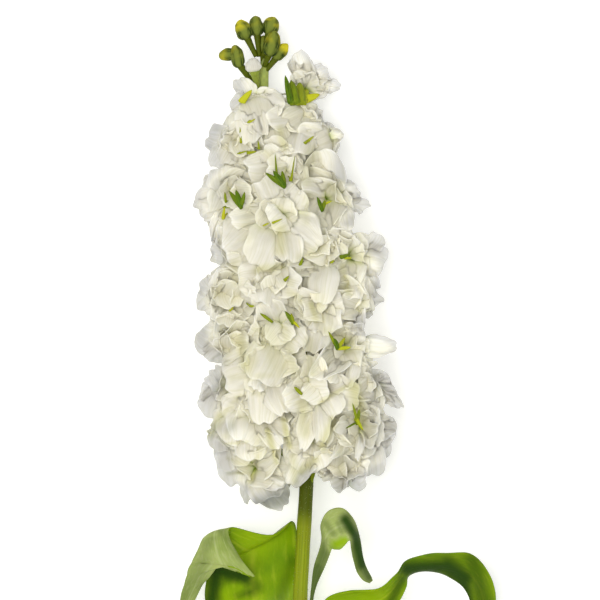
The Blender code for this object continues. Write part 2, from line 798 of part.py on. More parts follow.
def rule_sections(along, side, length, width, droop):
    """Cross-sections of a leaf lower down, which leaves the stem sideways and arches down."""
    middle = stem_middle(along)
    radius = read_off(STEM_RADII, along)
    count = 8
    sections = []
    for index in range(count):
        share = index / (count - 1)
        lean = math.radians(28 + 34 * share)
        out = radius + SEAT_GAP + 0.2 + length * share * math.sin(lean)
        ahead = length * share * math.cos(lean) * (1 - 0.35 * share)
        rise = droop * math.sin(math.pi * min(1.0, share * 0.9)) - (middle.z - 4.0) * share**1.6
        centre = middle + Vector((side * out, ahead, rise))
        half = width / 2 * max(0.12, math.sin(math.pi * share**0.8) ** 0.7)
        cross = Vector((-math.cos(lean) * side, math.sin(lean), 0.25 * math.sin(5 * share)))
        keel = 1.2 * math.sin(math.pi * share)
        sections.append((tuple(centre + cross * half), tuple(centre - cross * half), -side * keel))
    return sections


def stand_on_origin():
    """Moves everything so that the origin is under the middle of the plant, on the surface."""
    things = [thing for thing in bpy.data.objects if thing.type == "MESH"]
    corners = [vertex.co for thing in things for vertex in thing.data.vertices]
    low = [min(corner[axis] for corner in corners) for axis in range(3)]
    high = [max(corner[axis] for corner in corners) for axis in range(3)]
    middle = Vector(((low[0] + high[0]) / 2, (low[1] + high[1]) / 2, low[2]))
    for thing in things:
        thing.data.transform(Matrix.Translation(-middle))


def shade_round():
    """Shades the pieces smooth, with an edge where two faces meet at more than a slight angle."""
    for thing in bpy.data.objects:
        thing.data.shade_smooth()
        thing.data.set_sharp_from_angle(angle=SHARP_FROM)


def main():
    """Builds the whole plant."""
    clear_scene()
    white = make_material("petal", PETAL_WHITE, 0.6)
    stem_green = make_material("stem", STEM_GREEN, 0.5)
    leaf_green = make_material("leaf", LEAF_GREEN, 0.5)
    bud_green = make_material("bud", BUD_GREEN, 0.6)
    blooms = UPPER_BLOOMS + LOWER_BLOOMS
    flowers = [Flower(index + 1, bloom) for index, bloom in enumerate(blooms)]
    set_walls(flowers)
    make_stem(flowers, stem_green)
    make_buds(bud_green)
    for flower in flowers:
        make_bloom(flower, white)
    leaf_from_sections("leaf_left", LEAF_LEFT, leaf_green)
    leaf_from_sections("leaf_middle", LEAF_MIDDLE, leaf_green, wave=0.4)
    leaf_from_sections("leaf_right", LEAF_RIGHT, leaf_green)
    for index, row in enumerate(LOWER_LEAVES):
        leaf_from_sections(f"leaf_low_{index + 1}", rule_sections(*row), leaf_green)
    stand_on_origin()
    shade_round()


main()
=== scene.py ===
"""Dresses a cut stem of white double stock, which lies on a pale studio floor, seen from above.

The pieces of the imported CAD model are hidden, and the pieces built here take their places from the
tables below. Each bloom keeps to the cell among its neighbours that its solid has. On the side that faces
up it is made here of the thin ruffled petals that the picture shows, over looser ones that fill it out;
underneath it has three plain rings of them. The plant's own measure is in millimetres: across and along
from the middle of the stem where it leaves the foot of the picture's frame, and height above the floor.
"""

import logging
import math
import random
from collections.abc import Callable, Iterable, Sequence
from dataclasses import dataclass, replace
from enum import Enum

import bmesh
import bpy
from mathutils import Matrix, Vector, noise


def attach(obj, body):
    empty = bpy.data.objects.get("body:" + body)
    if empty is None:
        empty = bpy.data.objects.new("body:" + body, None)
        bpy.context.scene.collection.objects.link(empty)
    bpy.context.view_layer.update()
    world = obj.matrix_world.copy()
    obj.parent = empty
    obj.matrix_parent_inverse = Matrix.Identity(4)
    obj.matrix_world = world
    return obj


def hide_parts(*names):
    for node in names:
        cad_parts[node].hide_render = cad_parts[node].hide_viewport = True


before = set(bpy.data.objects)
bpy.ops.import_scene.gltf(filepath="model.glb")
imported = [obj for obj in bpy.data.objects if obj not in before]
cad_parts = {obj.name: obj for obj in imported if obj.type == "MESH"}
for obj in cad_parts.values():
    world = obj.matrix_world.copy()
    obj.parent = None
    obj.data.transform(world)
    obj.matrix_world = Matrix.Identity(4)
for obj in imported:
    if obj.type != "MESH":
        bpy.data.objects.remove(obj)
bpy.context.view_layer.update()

log = logging.getLogger("stock_stem")

MM = 0.001
SEED = 41

# Where the plant's own measure has its zero in the frame, in millimetres.
PLANT_ZERO = Vector((4.7233, -182.7141, 0.0))

# The picture's frame: its middle in the plant's measure, its width and its pixels per mm.
PICTURE_MIDDLE = (0.0, 264.895)
PIXELS_PER_MM = 2.86
PICTURE_PIXELS = 600
PICTURE_HALF = PICTURE_PIXELS / 2

# The stem, from its cut end into the head: across, along and height of its middle line.
STEM_ROUTE = (
    (-5.0, 0.0, 3.2),
    (-3.0, 60.0, 10.5),
    (-0.5, 120.0, 18.0),
    (0.0, 160.0, 22.5),
    (2.6, 203.0, 25.5),
    (-2.5, 245.0, 26.0),
    (-7.5, 285.0, 24.5),
    (-11.0, 318.0, 21.5),
    (-13.3, 338.0, 20.0),
)
STEM_RADII = ((0.0, 3.2), (160.0, 3.0), (203.0, 2.9), (250.0, 2.3), (300.0, 1.7), (338.0, 1.2))
SKIN_SHARE = 0.85
FIRST_JOINT = 191.0
LAST_JOINT = 334.0

# How far a bloom's throat lies from the head's middle line.
THROAT_DISTANCE = (
    (197.0, 10.5), (216.0, 14.5), (232.0, 16.0), (249.0, 16.5), (275.0, 15.0), (300.0, 13.5),
    (317.0, 9.5), (335.0, 5.5),
)
LEAST_RISE = 0.3

# A direction close to the stem's own, which no bloom faces.
NEARLY_ALONG = Vector((0.0, 1.0, 0.05))

# The stalk and the green cup under a bloom.
STALK_RADIUS = 0.85
STALK_DROP = 10.0
STALK_BEND = 1.2
CUP_RADIUS = 2.1
CUP_LENGTH = 7.5
SEAT_GAP = 0.3

# A bloom's cell among its neighbours.
HEART_HEIGHT = 1.6
SITE_SHARE = 0.45
NEIGHBOUR_RANGE = 70.0
STALK_RANGE = 45.0
STEM_RANGE = 30
WALL_GAP = 0.3
FREE_SHARE = 0.8
LEAST_Z = 0.3
LAYER_STEP = 1.3

# A petal's rise from the throat, and the form of its claw and limb.
START_OUT = 0.5
START_UP = 1.4
LEAST_UP = 1.1
LEAST_OUT = 0.3
NECK_OUT = 3.5
BELOW_NECK = 0.4
PROFILE_STEPS = 24
BENT_BY = 1.5
CURLED = (0.5, 1.1)
NARROWEST = math.radians(14)
LEAST_OPENING = math.radians(8)
STEEPEST = math.radians(90)
WIDEST_SECTOR = math.radians(62)
OPENING_STEP = math.radians(4)
MOST_USED = 1.5
CLAW_SHARE = 0.16
LIMB_FROM = 0.5
LIMB_AT = 0.56
NOTCH_DEPTH = 0.05
NOTCH_WIDE = 0.22
PETAL_WALL = 0.22

# Where the end of a petal is tried against its cell: by how much it is turned and how far out.
END_PROBES = ((0.0, 1.0), (-0.5, 0.85), (0.5, 0.85))

# How many more faces the sheet of a drawn petal has each way, and that of a filling one.
FINER = 6
COARSER = -2

# How a petal's rim, its fan folds and its soft unevenness lift it, and the share of its length
# over which the folds rise. The petals that the picture shows have their own lifts.
RIM_LIFT = 0.6
FAN_FROM = 0.25
FOLDED = (0.1, 0.7)
SOFT_GRAIN = 0.16
SOFT_LIFT = 0.5
DRAWN_RIM_LIFT = 0.9
DRAWN_FOLD_LIFT = 0.85
FINE_FOLD = 0.4
FINE_FOLDS = 2.3
DRAWN_CUT = 0.045
CUTS = 7.3
DRAWN_SOFT_GRAIN = 0.11
DRAWN_SOFT_LIFT = 1.6
DRAWN_END = (0.6, 1.05)
LEAST_CLIMB = 3.0
KNEE_AHEAD = 0.3


class Slot(Enum):
    """Names of the material slots."""

    PETAL = "petal"
    STEM = "stem"
    LEAF = "leaf"
    BUD = "bud"


class Ring(Enum):
    """The rings in which the petals of one bloom stand, by how many lie under each."""

    OUTER = 0
    MIDDLE = 1
    INNER = 2


# The rings of a bloom: how many petals each has, how far it is shifted round as a share of a step,
# how long and how wide its petals are next to the outer ones, the angle in degrees at which they
# start, their share of the turn and how far they open next to the outer ones.
RINGS = (
    (Ring.OUTER, 4, 0.0, 1.0, 1.0, 26, 1.25, 1.0),
    (Ring.MIDDLE, 4, 0.5, 0.9, 0.86, 14, 1.15, 0.76),
    (Ring.INNER, 2, 0.25, 0.76, 0.66, 4, 1.0, 0.5),
)


@dataclass(frozen=True)
class Bloom:
    """One flower: where its throat is, how large it is and how it is held."""

    across: float
    along: float
    reach: float
    opening: float
    nod: float = 0.1
    turn: float | None = None


# Blooms on the side that faces up, from the head's tip down: across, along, reach, opening, nod.
UPPER_BLOOMS = tuple(
    Bloom(*row)
    for row in (
        (0.0, 336.5, 16.5, 42, 1.2), (-15.0, 331.5, 12.5, 66, 0.5), (-2.5, 326.0, 15.5, 72, 0.2),
        (-18.5, 319.0, 15.5, 74, 0.1), (6.5, 320.0, 15.0, 74, 0.2), (-6.5, 310.5, 17.0, 70, 0.1),
        (-20.5, 300.5, 17.0, 76, 0.1), (7.0, 299.0, 19.5, 78, 0.2), (-7.5, 293.5, 18.0, 70, 0.0),
        (-19.5, 283.0, 19.0, 74, -0.1), (4.5, 282.0, 18.0, 70, 0.0), (14.5, 279.5, 18.5, 76, 0.1),
        (-8.5, 271.5, 18.5, 70, 0.0), (-22.0, 265.5, 18.5, 74, 0.0), (15.5, 263.0, 18.0, 76, 0.0),
        (4.0, 262.0, 18.0, 70, 0.1), (-6.0, 254.5, 17.5, 72, 0.0), (12.5, 248.5, 20.5, 80, 0.0),
        (-20.5, 250.0, 18.5, 76, -0.1), (-9.5, 241.0, 19.0, 70, 0.1), (4.0, 234.5, 20.0, 72, -0.1),
        (21.0, 234.5, 18.5, 74, 0.0), (-22.0, 235.0, 18.5, 74, 0.0), (-11.0, 226.0, 20.5, 70, -0.2),
        (17.0, 221.0, 20.0, 76, -0.2), (3.5, 217.5, 18.5, 66, -0.4), (-21.0, 219.0, 18.5, 72, -0.2),
        (-13.5, 208.0, 19.0, 64, -0.7), (12.5, 207.5, 18.0, 66, -0.6),
    )
)

# Blooms on the side that the plant lies on: along, reach, opening, nod and the angle at which
# they stand round the head, which takes the place of across.
LOWER_BLOOMS = tuple(
    Bloom(0.0, *row)
    for row in (
        (207.0, 18.5, 68, -0.6, 275), (219.0, 19.0, 74, -0.1, 222), (224.0, 19.0, 74, -0.1, 316),
        (236.0, 19.5, 76, 0.0, 268), (250.0, 19.0, 76, 0.0, 218), (254.0, 19.0, 76, 0.0, 314),
        (267.0, 19.0, 76, 0.0, 264), (282.0, 18.5, 76, 0.1, 314), (286.0, 18.5, 74, 0.1, 222),
        (300.0, 18.0, 74, 0.2, 268), (316.0, 16.0, 70, 0.3, 264),
    )
)


@dataclass(frozen=True)
class Bud:
    """A closed bud: its middle, its heading and its stalk's foot are in the picture's pixels.

    Its radius, its length and its rise above the tip of the stem are in millimetres.
    """

    middle: tuple[float, float]
    heading: tuple[float, float]
    radius: float
    length: float
    rise: float
    foot: tuple[float, float]
    yellow: float


BUDS = (
    Bud((243, 29), (-4, -9), 2.75, 7.6, 1.0, (256, 56), 0.85),
    Bud((256, 25), (-1, -9), 2.5, 7.4, -1.0, (259, 56), 0.25),
    Bud((271, 25), (3, -8), 2.85, 6.8, -0.6, (263, 56), 0.8),
    Bud((272, 43), (2, -9), 2.8, 9.4, 2.6, (264, 66), 0.45),
    Bud((281, 51), (6, -7), 2.1, 7.4, 0.5, (266, 70), 1.0),
    Bud((227, 54), (-9, 1), 2.3, 6.4, 0.5, (244, 72), 0.6),
    Bud((237, 56), (-2, -9), 2.3, 8.4, 2.4, (256, 88), 0.35),
    Bud((263, 44), (0, -9), 2.1, 7.0, -2.6, (263, 72), 0.1),
)
BUD_BASE = Vector((-13.3, 338.6, 20.0))
CORE_FOOT = (263, 92)
CORE_TIP = (265, 58)
CORE_RADII = (1.8, 1.8, 1.7, 1.6, 1.5, 1.3, 0.8)
OPENING_BUD = Bud((253, 65), (-2, -8), 2.6, 5.2, 4.5, (258, 90), 0.0)
OPENING_AT = 2
TIP_BLOOM = 1


@dataclass(frozen=True)
class Drawn:
    """A petal that the picture shows plainly.

    Its tip and half-width are in the picture's pixels, its rise above the head's outline is in
    millimetres, and its roll about its own middle line is in degrees.
    """

    tip: tuple[float, float]
    half_width: float
    rise: float = 0.0
    roll: float = 0.0
    cup: float = -0.12
    curl: float = -1.0
    ruffle: float = 1.0
    point: float = 0.0
    sway: float = 0.0


def drawn(*rows: tuple[float, ...]) -> tuple[Drawn, ...]:
    """Makes drawn petals from rows of numbers, each a tip and then the other fields in order."""
    return tuple(Drawn(row[:2], *row[2:]) for row in rows)


# The petals that the picture shows, by the number of their bloom.
DRAWN_PETALS = {
    1: drawn(
        (296, 51, 9, 6.0, 15, 0.3, 1.0, 0.5), (287, 62, 7, 4.5, -20, 0.3, 0.5, 0.5),
        (291, 74, 8, 3.4, 0, 0.0, 0.0, 0.5), (308, 60, 7, 5.0, 25, 0.2, 0.0, 0.6),
        (304, 74, 11, 5.0, 0, -0.1, -0.5, 0.5), (328, 70, 9, 6.0, 20, 0.2, 0.0, 0.7),
        (343, 86, 6, 4.0, -25, 0.3, 0.0, 0.6, 0.5), (318, 78, 11, 6.0, -15, 0.0, 0.0, 0.5),
        (332, 88, 10, 4.0, 0, -0.1, 0.0, 0.5), (322, 97, 8, 1.0, 0, -0.1, 0.0, 0.8),
    ),
    2: drawn(
        (239, 78, 8, 1.0, 0, 0.1), (281, 93, 8, 1.0, 0, 0.0), (230, 109, 9, -1.0, 0, 0.3),
        (250, 142, 13, 2.0, 0, -0.2, -1.5), (284, 108, 11, 2.0, 0, -0.2),
        (262, 134, 9, 0.0, 0, 0.0, -1.0, 0.8),
    ),
    3: drawn(
        (303, 100, 12, 2.0, 10, -0.1), (266, 122, 12, 1.0, 0, 0.1), (321, 107, 8, 1.5, 0, -0.1),
        (292, 149, 15, 3.0, 0, -0.3, -2.0, 0.6), (322, 130, 9, 1.0, 0, -0.1),
        (305, 111, 12, 3.0, 0, -0.2, -1.0, 0.6),
    ),
    4: drawn(
        (229, 158, 11, 0.5, 0, -0.1), (252, 124, 12, 1.0, 0, 0.0),
        (208, 135, 11, 0.5, 0, 0.4, 1.5, 0.6), (217, 166, 10, 1.0, 0, -0.2, -1.0, 0.6),
        (264, 142, 8, -0.5, 0, 0.0, -1.0, 0.8),
    ),
    5: drawn(
        (300, 135, 11, 1.5, 0, -0.2), (325, 122, 6, 0.5, 0, -0.1), (347, 131, 6, 5.0, 0, 0.8, 3.0, 0.8),
        (328, 152, 8, -0.5, 0, -0.1),
    ),
    6: drawn(
        (246, 170, 14, 2.0, 0, -0.15, -1.0, 0.8), (300, 158, 12, 1.0, 0, 0.1),
        (262, 152, 11, 1.0, 0, 0.0), (268, 138, 12, -0.5, 0, -0.1),
        (288, 158, 9, 2.0, 0, -0.1, -1.0, 0.6, 0.0, 4.0),
        (268, 166, 10, 2.4, 0, -0.1, -1.0, 0.6, 0.0, 4.0),
    ),
    7: drawn(
        (198, 192, 15, 1.0, 0, 0.2, -0.5, 0.8), (194, 215, 13, -1.0, 0, 0.1, -1.0, 1.2),
        (222, 168, 14, 1.0, 0, -0.2, -1.0), (211, 245, 6, 0.5, 0, 0.0, -1.0, 0.6, 0.5),
    ),
    8: drawn(
        (366, 211, 9, 2.0, 30, 0.3, 0.0, 1.2), (300, 188, 11, 1.0, 0, -0.1),
        (319, 146, 17, 4.0, 0, 0.5, 2.0, 0.4), (361, 187, 10, 2.5, 0, 0.1, -1.0, 1.0),
        (340, 236, 13, 1.5, 0, -0.2),
    ),
    9: drawn(
        (258, 178, 17, 1.0, 0, -0.2, -1.0), (302, 188, 15, 1.0, 0, -0.2),
        (225, 255, 20, 3.5, 0, -0.2, -3.0, 1.2), (256, 266, 17, 3.0, 0, -0.2, -3.0, 1.2),
        (318, 248, 18, 3.0, 0, -0.25, -2.0, 0.7, 0.5), (288, 263, 13, 2.0, 0, -0.2, -2.0, 0.7),
        (231, 220, 12, 2.0, 0, -0.1), (268, 224, 13, 2.4, 0, -0.1, -1.0, 0.6, 0.0, 5.0),
    ),
    10: drawn(
        (211, 246, 12, 0.0, 0, 0.1), (224, 226, 10, 0.0, 0, 0.0),
    ),
    11: drawn(
        (340, 224, 14, 1.0, 0, -0.1), (287, 262, 10, 0.0, 0, 0.1),
        (317, 300, 11, 5.5, 0, -0.15, -3.0, 0.3),
    ),
    12: drawn(
        (332, 236, 11, 0.0, 0, 0.1), (378, 234, 10, 2.0, 20, 0.2, 0.0, 1.2),
        (387, 264, 13, 2.5, 0, -0.1, -1.0, 1.4), (350, 298, 12, 1.5, 0, -0.2),
        (378, 292, 7, 0.0, 0, 0.0, -1.0, 1.2),
    ),
    13: drawn(
        (238, 280, 15, 0.5, 0, -0.1), (268, 306, 15, 1.5, 0, -0.2, -1.0, 1.2),
        (300, 287, 13, 1.0, 0, 0.1), (262, 262, 12, -0.5, 0, 0.1),
        (256, 309, 9, -0.5, 0, 0.0, -1.0, 0.6),
    ),
    14: drawn(
        (226, 322, 13, 1.0, 0, -0.2), (222, 270, 12, 1.0, 0, 0.1), (256, 292, 12, 1.5, 0, 0.0),
        (204, 278, 10, 1.0, 0, 0.1, 0.0, 1.3), (200, 313, 12, 1.0, 0, 0.0, -1.0, 1.0),
    ),
    15: drawn(
        (380, 290, 9, 0.5, 10, 0.2), (377, 307, 10, 0.5, 0, 0.0, -1.0, 1.2),
        (354, 331, 10, 0.0, 0, 0.0), (360, 276, 12, 0.0, 0, 0.0),
    ),
    16: drawn(
        (325, 332, 15, 1.5, 0, -0.2), (308, 350, 14, -0.5, 0, -0.1), (340, 298, 14, 1.5, 0, -0.2),
        (300, 296, 11, 0.5, 0, 0.1),
    ),
    17: drawn(
        (302, 348, 13, 1.5, 0, -0.1), (250, 320, 13, 1.0, 0, -0.1), (262, 300, 12, 1.0, 0, 0.1),
        (261, 384, 18, 3.4, 0, -0.2, -2.0, 0.3), (270, 343, 11, 2.6, 0, -0.15, -1.0, 0.4, 0.0, 6.0),
        (294, 336, 9, 2.0, 0, -0.1, -1.0, 0.6, 0.0, 4.0),
    ),
    18: drawn(
        (353, 322, 11, 1.0, 0, 0.0), (395, 349, 9, 5.0, 25, 0.35, 3.0, 0.5, 0.3),
        (311, 381, 12, 4.0, 0, 0.55, 1.0, 0.4), (328, 380, 8, 4.8, 0, -0.3, -1.0, 0.5),
        (345, 384, 9, 3.0, -20, -0.3, -1.0, 0.6),
    ),
    19: drawn(
        (207, 358, 11, 0.0, 0, 0.0), (225, 318, 11, 0.5, 0, 0.0),
        (262, 338, 13, 0.5, 0, -0.2, -1.0, 0.8), (196, 331, 13, 2.6, 0, -0.1, -1.5, 0.3),
        (222, 336, 10, 0.5, 0, 0.0, -1.0, 0.6),
    ),
    20: drawn(
        (309, 352, 12, -1.0, 0, 0.0), (254, 350, 16, 1.5, 0, -0.1), (297, 362, 12, 0.5, 0, 0.1),
        (221, 378, 19, 3.0, 0, -0.12, -1.5, 0.7), (255, 395, 7, 4.4, 0, 0.0, 0.5, 1.3),
        (266, 424, 13, 3.0, 0, -0.25, -2.0, 0.4), (285, 414, 11, 1.6, 0, -0.1, -1.0, 0.8),
    ),
    21: drawn(
        (282, 400, 13, 1.5, 0, 0.0), (345, 379, 10, 1.5, 0, -0.1, -1.0, 0.6),
        (358, 397, 14, 3.0, 0, -0.15, -1.0, 1.0), (338, 417, 13, 2.4, 0, -0.15, -1.0, 0.9),
        (301, 453, 9.5, 2.5, 0, 0.25, -1.0, 0.3, 0.6), (319, 444, 9, 3.8, -25, -0.2, -1.0, 0.7),
        (328, 384, 12, 3.4, 0, -0.15, -1.0, 0.5, 0.0, 7.0),
        (306, 400, 10, 3.0, 0, -0.15, -1.0, 0.5, 0.0, 5.0), (311, 354, 10, 0.5, 0, 0.1, -1.0, 0.6),
    ),
    22: drawn(
        (383, 372, 12, 0.0, 0, 0.0), (393, 395, 9, 2.0, 0, 0.0, -1.0, 1.4),
        (399, 409, 7, 1.5, 20, 0.1, 0.0, 1.2, 0.7), (397, 400, 6, 2.2, -10, 0.1, 0.0, 1.2, 0.5),
        (390, 380, 8, 1.0, 0, 0.0, -1.0, 1.2),
    ),
    23: drawn(
        (212, 422, 15, 1.4, 10, -0.1, -1.0, 1.3), (214, 371, 11, 1.0, 0, 0.0, -1.0, 1.2),
        (210, 391, 11, 0.5, 0, 0.0, -1.0, 0.8), (210, 406, 14, 2.0, 0, -0.1, -1.0, 1.2),
    ),
    24: drawn(
        (227, 424, 22, 3.6, 0, -0.15, -1.5, 0.8), (246, 440, 18, 4.4, 0, -0.12, -1.5, 0.6),
        (236, 447, 20, 2.8, 0, -0.15, -1.5, 1.1), (256, 460, 15, 2.0, 0, -0.2, -1.0, 0.8),
        (281, 444, 9, 2.6, 0, -0.2, -1.0, 0.6), (208, 432, 11, 0.5, 10, 0.0, -0.5, 1.4, 0.6),
        (288, 430, 10, 0.5, 0, 0.0, -1.0, 0.6),
    ),
    25: drawn(
        (387, 462, 12, 0.0, 0, 0.0), (355, 450, 4, 7.8, 0, -0.3, -4.0, 0.1, 0.6),
        (335, 454, 5, 6.6, 10, -0.3, -3.0, 0.1, 0.6), (396, 437, 14, 1.2, 0, -0.1, -1.0, 1.2),
        (394, 424, 10, 2.2, 0, 0.0, -1.0, 1.3, 0.3), (373, 479, 12, 2.2, 0, -0.1, -1.0, 0.8),
        (334, 424, 8, 0.0, 0, 0.0, -1.0, 0.4),
    ),
    26: drawn(
        (290, 486, 10, 3.4, 0, -0.2, -1.5, 0.5), (296, 470, 12, 3.0, 0, -0.15, -1.0, 0.8),
        (322, 470, 12, 2.0, 0, -0.1, -1.0, 0.8),
    ),
    27: drawn(
        (206, 431, 10, 0.0, 0, 0.1, -0.5, 1.4, 0.6), (226, 451, 14, 1.2, 0, 0.0, -1.0, 1.0),
        (237, 469, 16, 2.2, 0, -0.2, -1.5, 0.9), (240, 487, 14, 1.2, 0, -0.2, -2.0, 1.0),
    ),
    28: drawn(
        (247, 507, 6, -2.0, 0, 0.0, -1.0, 0.5, 0.8), (252, 488, 12, 2.4, 0, -0.1),
        (283, 484, 9, 2.4, 0, -0.1), (273, 494, 15, 5.4, 0, -0.3, -2.0, 0.4),
        (283, 504, 13, 2.4, 0, -0.2, -3.0, 0.3),
    ),
    29: drawn(
        (336, 477, 10, 1.0, 0, 0.0, -1.0, 1.0), (350, 478, 12, 0.0, 0, 0.0),
        (318, 452, 10, 1.0, 0, 0.0), (364, 470, 14, 4.6, 0, -0.15, -1.5, 0.2),
        (329, 481, 10, 3.8, 0, -0.15, -1.0, 0.4), (346, 476, 14, 3.8, 0, -0.2, -1.5, 0.2),
    ),
}


@dataclass(frozen=True)
class Sprig:
    """A stalk or sepal that shows green between the petals.

    It starts and ends at pixels of the picture, and its half-widths are in pixels.
    """

    bloom: int
    start: tuple[float, float]
    end: tuple[float, float]
    thick: tuple[float, float]
    rise: float
    yellow: float = 0.2


# Each row: the bloom, the start, the end, both half-widths, the rise and how yellow it is.
SPRIGS = tuple(
    Sprig(row[0], row[1:3], row[3:5], row[5:7], *row[7:])
    for row in (
        (1, 290, 101, 285, 75, 3.6, 3.0, 6.0, 0.0), (1, 294, 102, 291, 80, 6.0, 5.0, 6.4, 0.15),
        (1, 298, 102, 300, 82, 7.0, 6.0, 6.8, 0.35), (1, 301, 101, 308, 89, 6.0, 5.0, 6.2, 0.6),
        (1, 302, 100, 320, 94, 5.0, 4.0, 6.0, 1.0), (2, 242, 101, 252, 90, 4.0, 3.0, 4.0, 1.0),
        (2, 249, 123, 256, 119, 1.8, 1.4, 3.0, 0.8), (4, 241, 142, 240, 127, 1.3, 1.0, 3.5, 0.6),
        (4, 239, 154, 248, 151, 1.6, 1.6, 4.0, 0.5), (4, 248, 153, 257, 152, 1.8, 1.4, 4.0, 0.5),
        (4, 259, 149, 258, 141, 1.4, 1.0, 3.5, 0.4), (5, 304, 144, 309, 140, 1.8, 1.6, 3.5, 0.4),
        (5, 308, 141, 314, 136, 1.6, 1.2, 3.5, 0.7), (6, 277, 178, 275, 153, 2.0, 1.0, 4.5, 0.2),
        (6, 284, 187, 265, 173, 2.2, 2.8, 4.6, 0.1), (6, 284, 187, 273, 171, 2.4, 3.2, 4.8, 0.0),
        (6, 284, 187, 282, 171, 2.2, 2.6, 4.6, 0.1), (6, 291, 180, 295, 155, 1.8, 0.8, 4.5, 0.4),
        (7, 241, 208, 229, 191, 1.6, 2.8, 4.5, 0.1), (7, 241, 208, 236, 190, 1.8, 3.0, 4.7, 0.0),
        (7, 241, 207, 245, 192, 1.6, 2.2, 4.5, 0.1), (7, 226, 202, 225, 192, 1.3, 1.4, 4.0, 0.3),
        (7, 223, 219, 225, 207, 1.6, 1.6, 4.0, 0.9), (7, 224, 208, 231, 208, 1.5, 1.2, 4.0, 0.4),
        (8, 322, 211, 317, 197, 1.6, 2.2, 4.0, 0.0), (8, 322, 210, 325, 200, 1.8, 2.2, 4.0, 0.2),
        (8, 322, 205, 332, 201, 1.8, 1.2, 3.8, 0.9), (9, 264, 226, 270, 223, 1.4, 1.2, 4.0, 0.8),
        (9, 273, 223, 283, 219, 1.4, 1.0, 4.0, 0.6), (11, 300, 265, 303, 258, 1.8, 1.4, 4.2, 0.3),
        (12, 341, 257, 350, 254, 2.4, 1.8, 4.0, 0.1), (12, 345, 258, 352, 258, 1.6, 1.4, 3.8, 0.8),
        (12, 331, 263, 334, 260, 1.6, 1.4, 4.0, 0.5), (13, 285, 280, 289, 276, 1.8, 1.4, 4.2, 0.4),
        (14, 230, 311, 234, 307, 1.4, 1.2, 4.0, 0.7), (14, 251, 306, 255, 306, 1.4, 1.2, 4.0, 0.5),
        (17, 271, 321, 260, 313, 1.4, 1.8, 4.2, 0.3), (17, 293, 323, 285, 311, 1.6, 2.4, 4.2, 0.1),
        (17, 293, 323, 291, 313, 1.6, 1.8, 4.2, 0.4), (17, 292, 320, 300, 328, 1.8, 1.4, 4.0, 0.9),
        (18, 337, 348, 328, 331, 1.8, 1.8, 4.2, 0.3), (18, 337, 348, 334, 338, 2.0, 2.6, 4.4, 0.0),
        (18, 338, 347, 345, 337, 2.0, 2.0, 4.4, 0.6), (18, 339, 348, 351, 347, 2.0, 2.0, 4.4, 0.9),
        (21, 301, 393, 294, 386, 1.4, 2.0, 4.4, 0.4), (25, 357, 422, 352, 402, 2.2, 1.4, 4.0, 0.3),
        (25, 357, 420, 359, 408, 2.0, 1.8, 4.0, 0.2), (25, 356, 418, 363, 430, 2.2, 1.8, 4.2, 0.7),
        (25, 354, 423, 345, 428, 1.8, 1.4, 4.0, 0.1),
    )
)

WHOLE_LENGTH = (0.0, 1.0)

# Leaves that show beside the stem: for each cross-section, one margin, the other margin
# and how far the rib stands out between them.
LEAF_LEFT = (
    ((-3.0, 149.0, 22.0), (-3.6, 146.0, 21.0), 0.0),
    ((-1.4, 162.0, 18.6), (-26.0, 149.0, 14.0), -1.5),
    ((-0.8, 175.0, 19.4), (-33.0, 159.0, 18.0), -2.5),
    ((-2.4, 187.5, 22.5), (-32.8, 168.5, 24.0), -2.0),
    ((-9.6, 182.4, 30.0), (-31.0, 176.0, 27.0), -1.5),
    ((-24.0, 184.5, 36.0), (-33.5, 181.5, 33.0), 1.0),
    ((-21.6, 176.0, 41.0), (-35.2, 178.4, 35.0), 1.6),
    ((-16.0, 168.7, 41.5), (-36.6, 175.2, 34.5), 1.6),
    ((-22.4, 171.6, 41.0), (-38.1, 171.4, 33.0), 1.4),
    ((-27.6, 172.6, 38.5), (-39.4, 167.6, 31.0), 1.0),
    ((-31.2, 168.6, 34.5), (-40.6, 164.0, 28.0), 0.8),
    ((-35.2, 163.4, 28.0), (-42.2, 159.0, 24.0), 0.5),
    ((-41.5, 150.0, 17.0), (-44.0, 149.0, 16.0), 0.0),
)
LEAF_MIDDLE = (
    ((3.0, 151.0, 27.0), (3.6, 149.0, 24.0), 0.0),
    ((3.6, 163.0, 32.0), (4.6, 162.0, 31.0), 0.3),
    ((5.3, 172.5, 36.0), (8.1, 170.5, 35.0), 0.6),
    ((7.6, 180.5, 39.5), (10.8, 177.8, 38.5), 0.8),
    ((7.6, 187.0, 42.0), (12.4, 178.2, 42.0), 1.0),
    ((10.2, 191.6, 43.5), (14.2, 178.2, 45.0), 1.2),
    ((14.6, 192.4, 44.0), (16.0, 180.0, 46.0), 1.2),
    ((18.4, 188.5, 43.5), (17.2, 181.0, 45.5), 1.0),
    ((20.6, 182.0, 41.5), (17.8, 178.0, 42.5), 0.8),
    ((22.3, 174.0, 38.0), (19.4, 172.0, 39.0), 0.6),
    ((25.0, 168.2, 33.0), (21.8, 167.6, 34.0), 0.4),
    ((25.6, 166.8, 31.5), (24.4, 165.8, 31.5), 0.0),
)
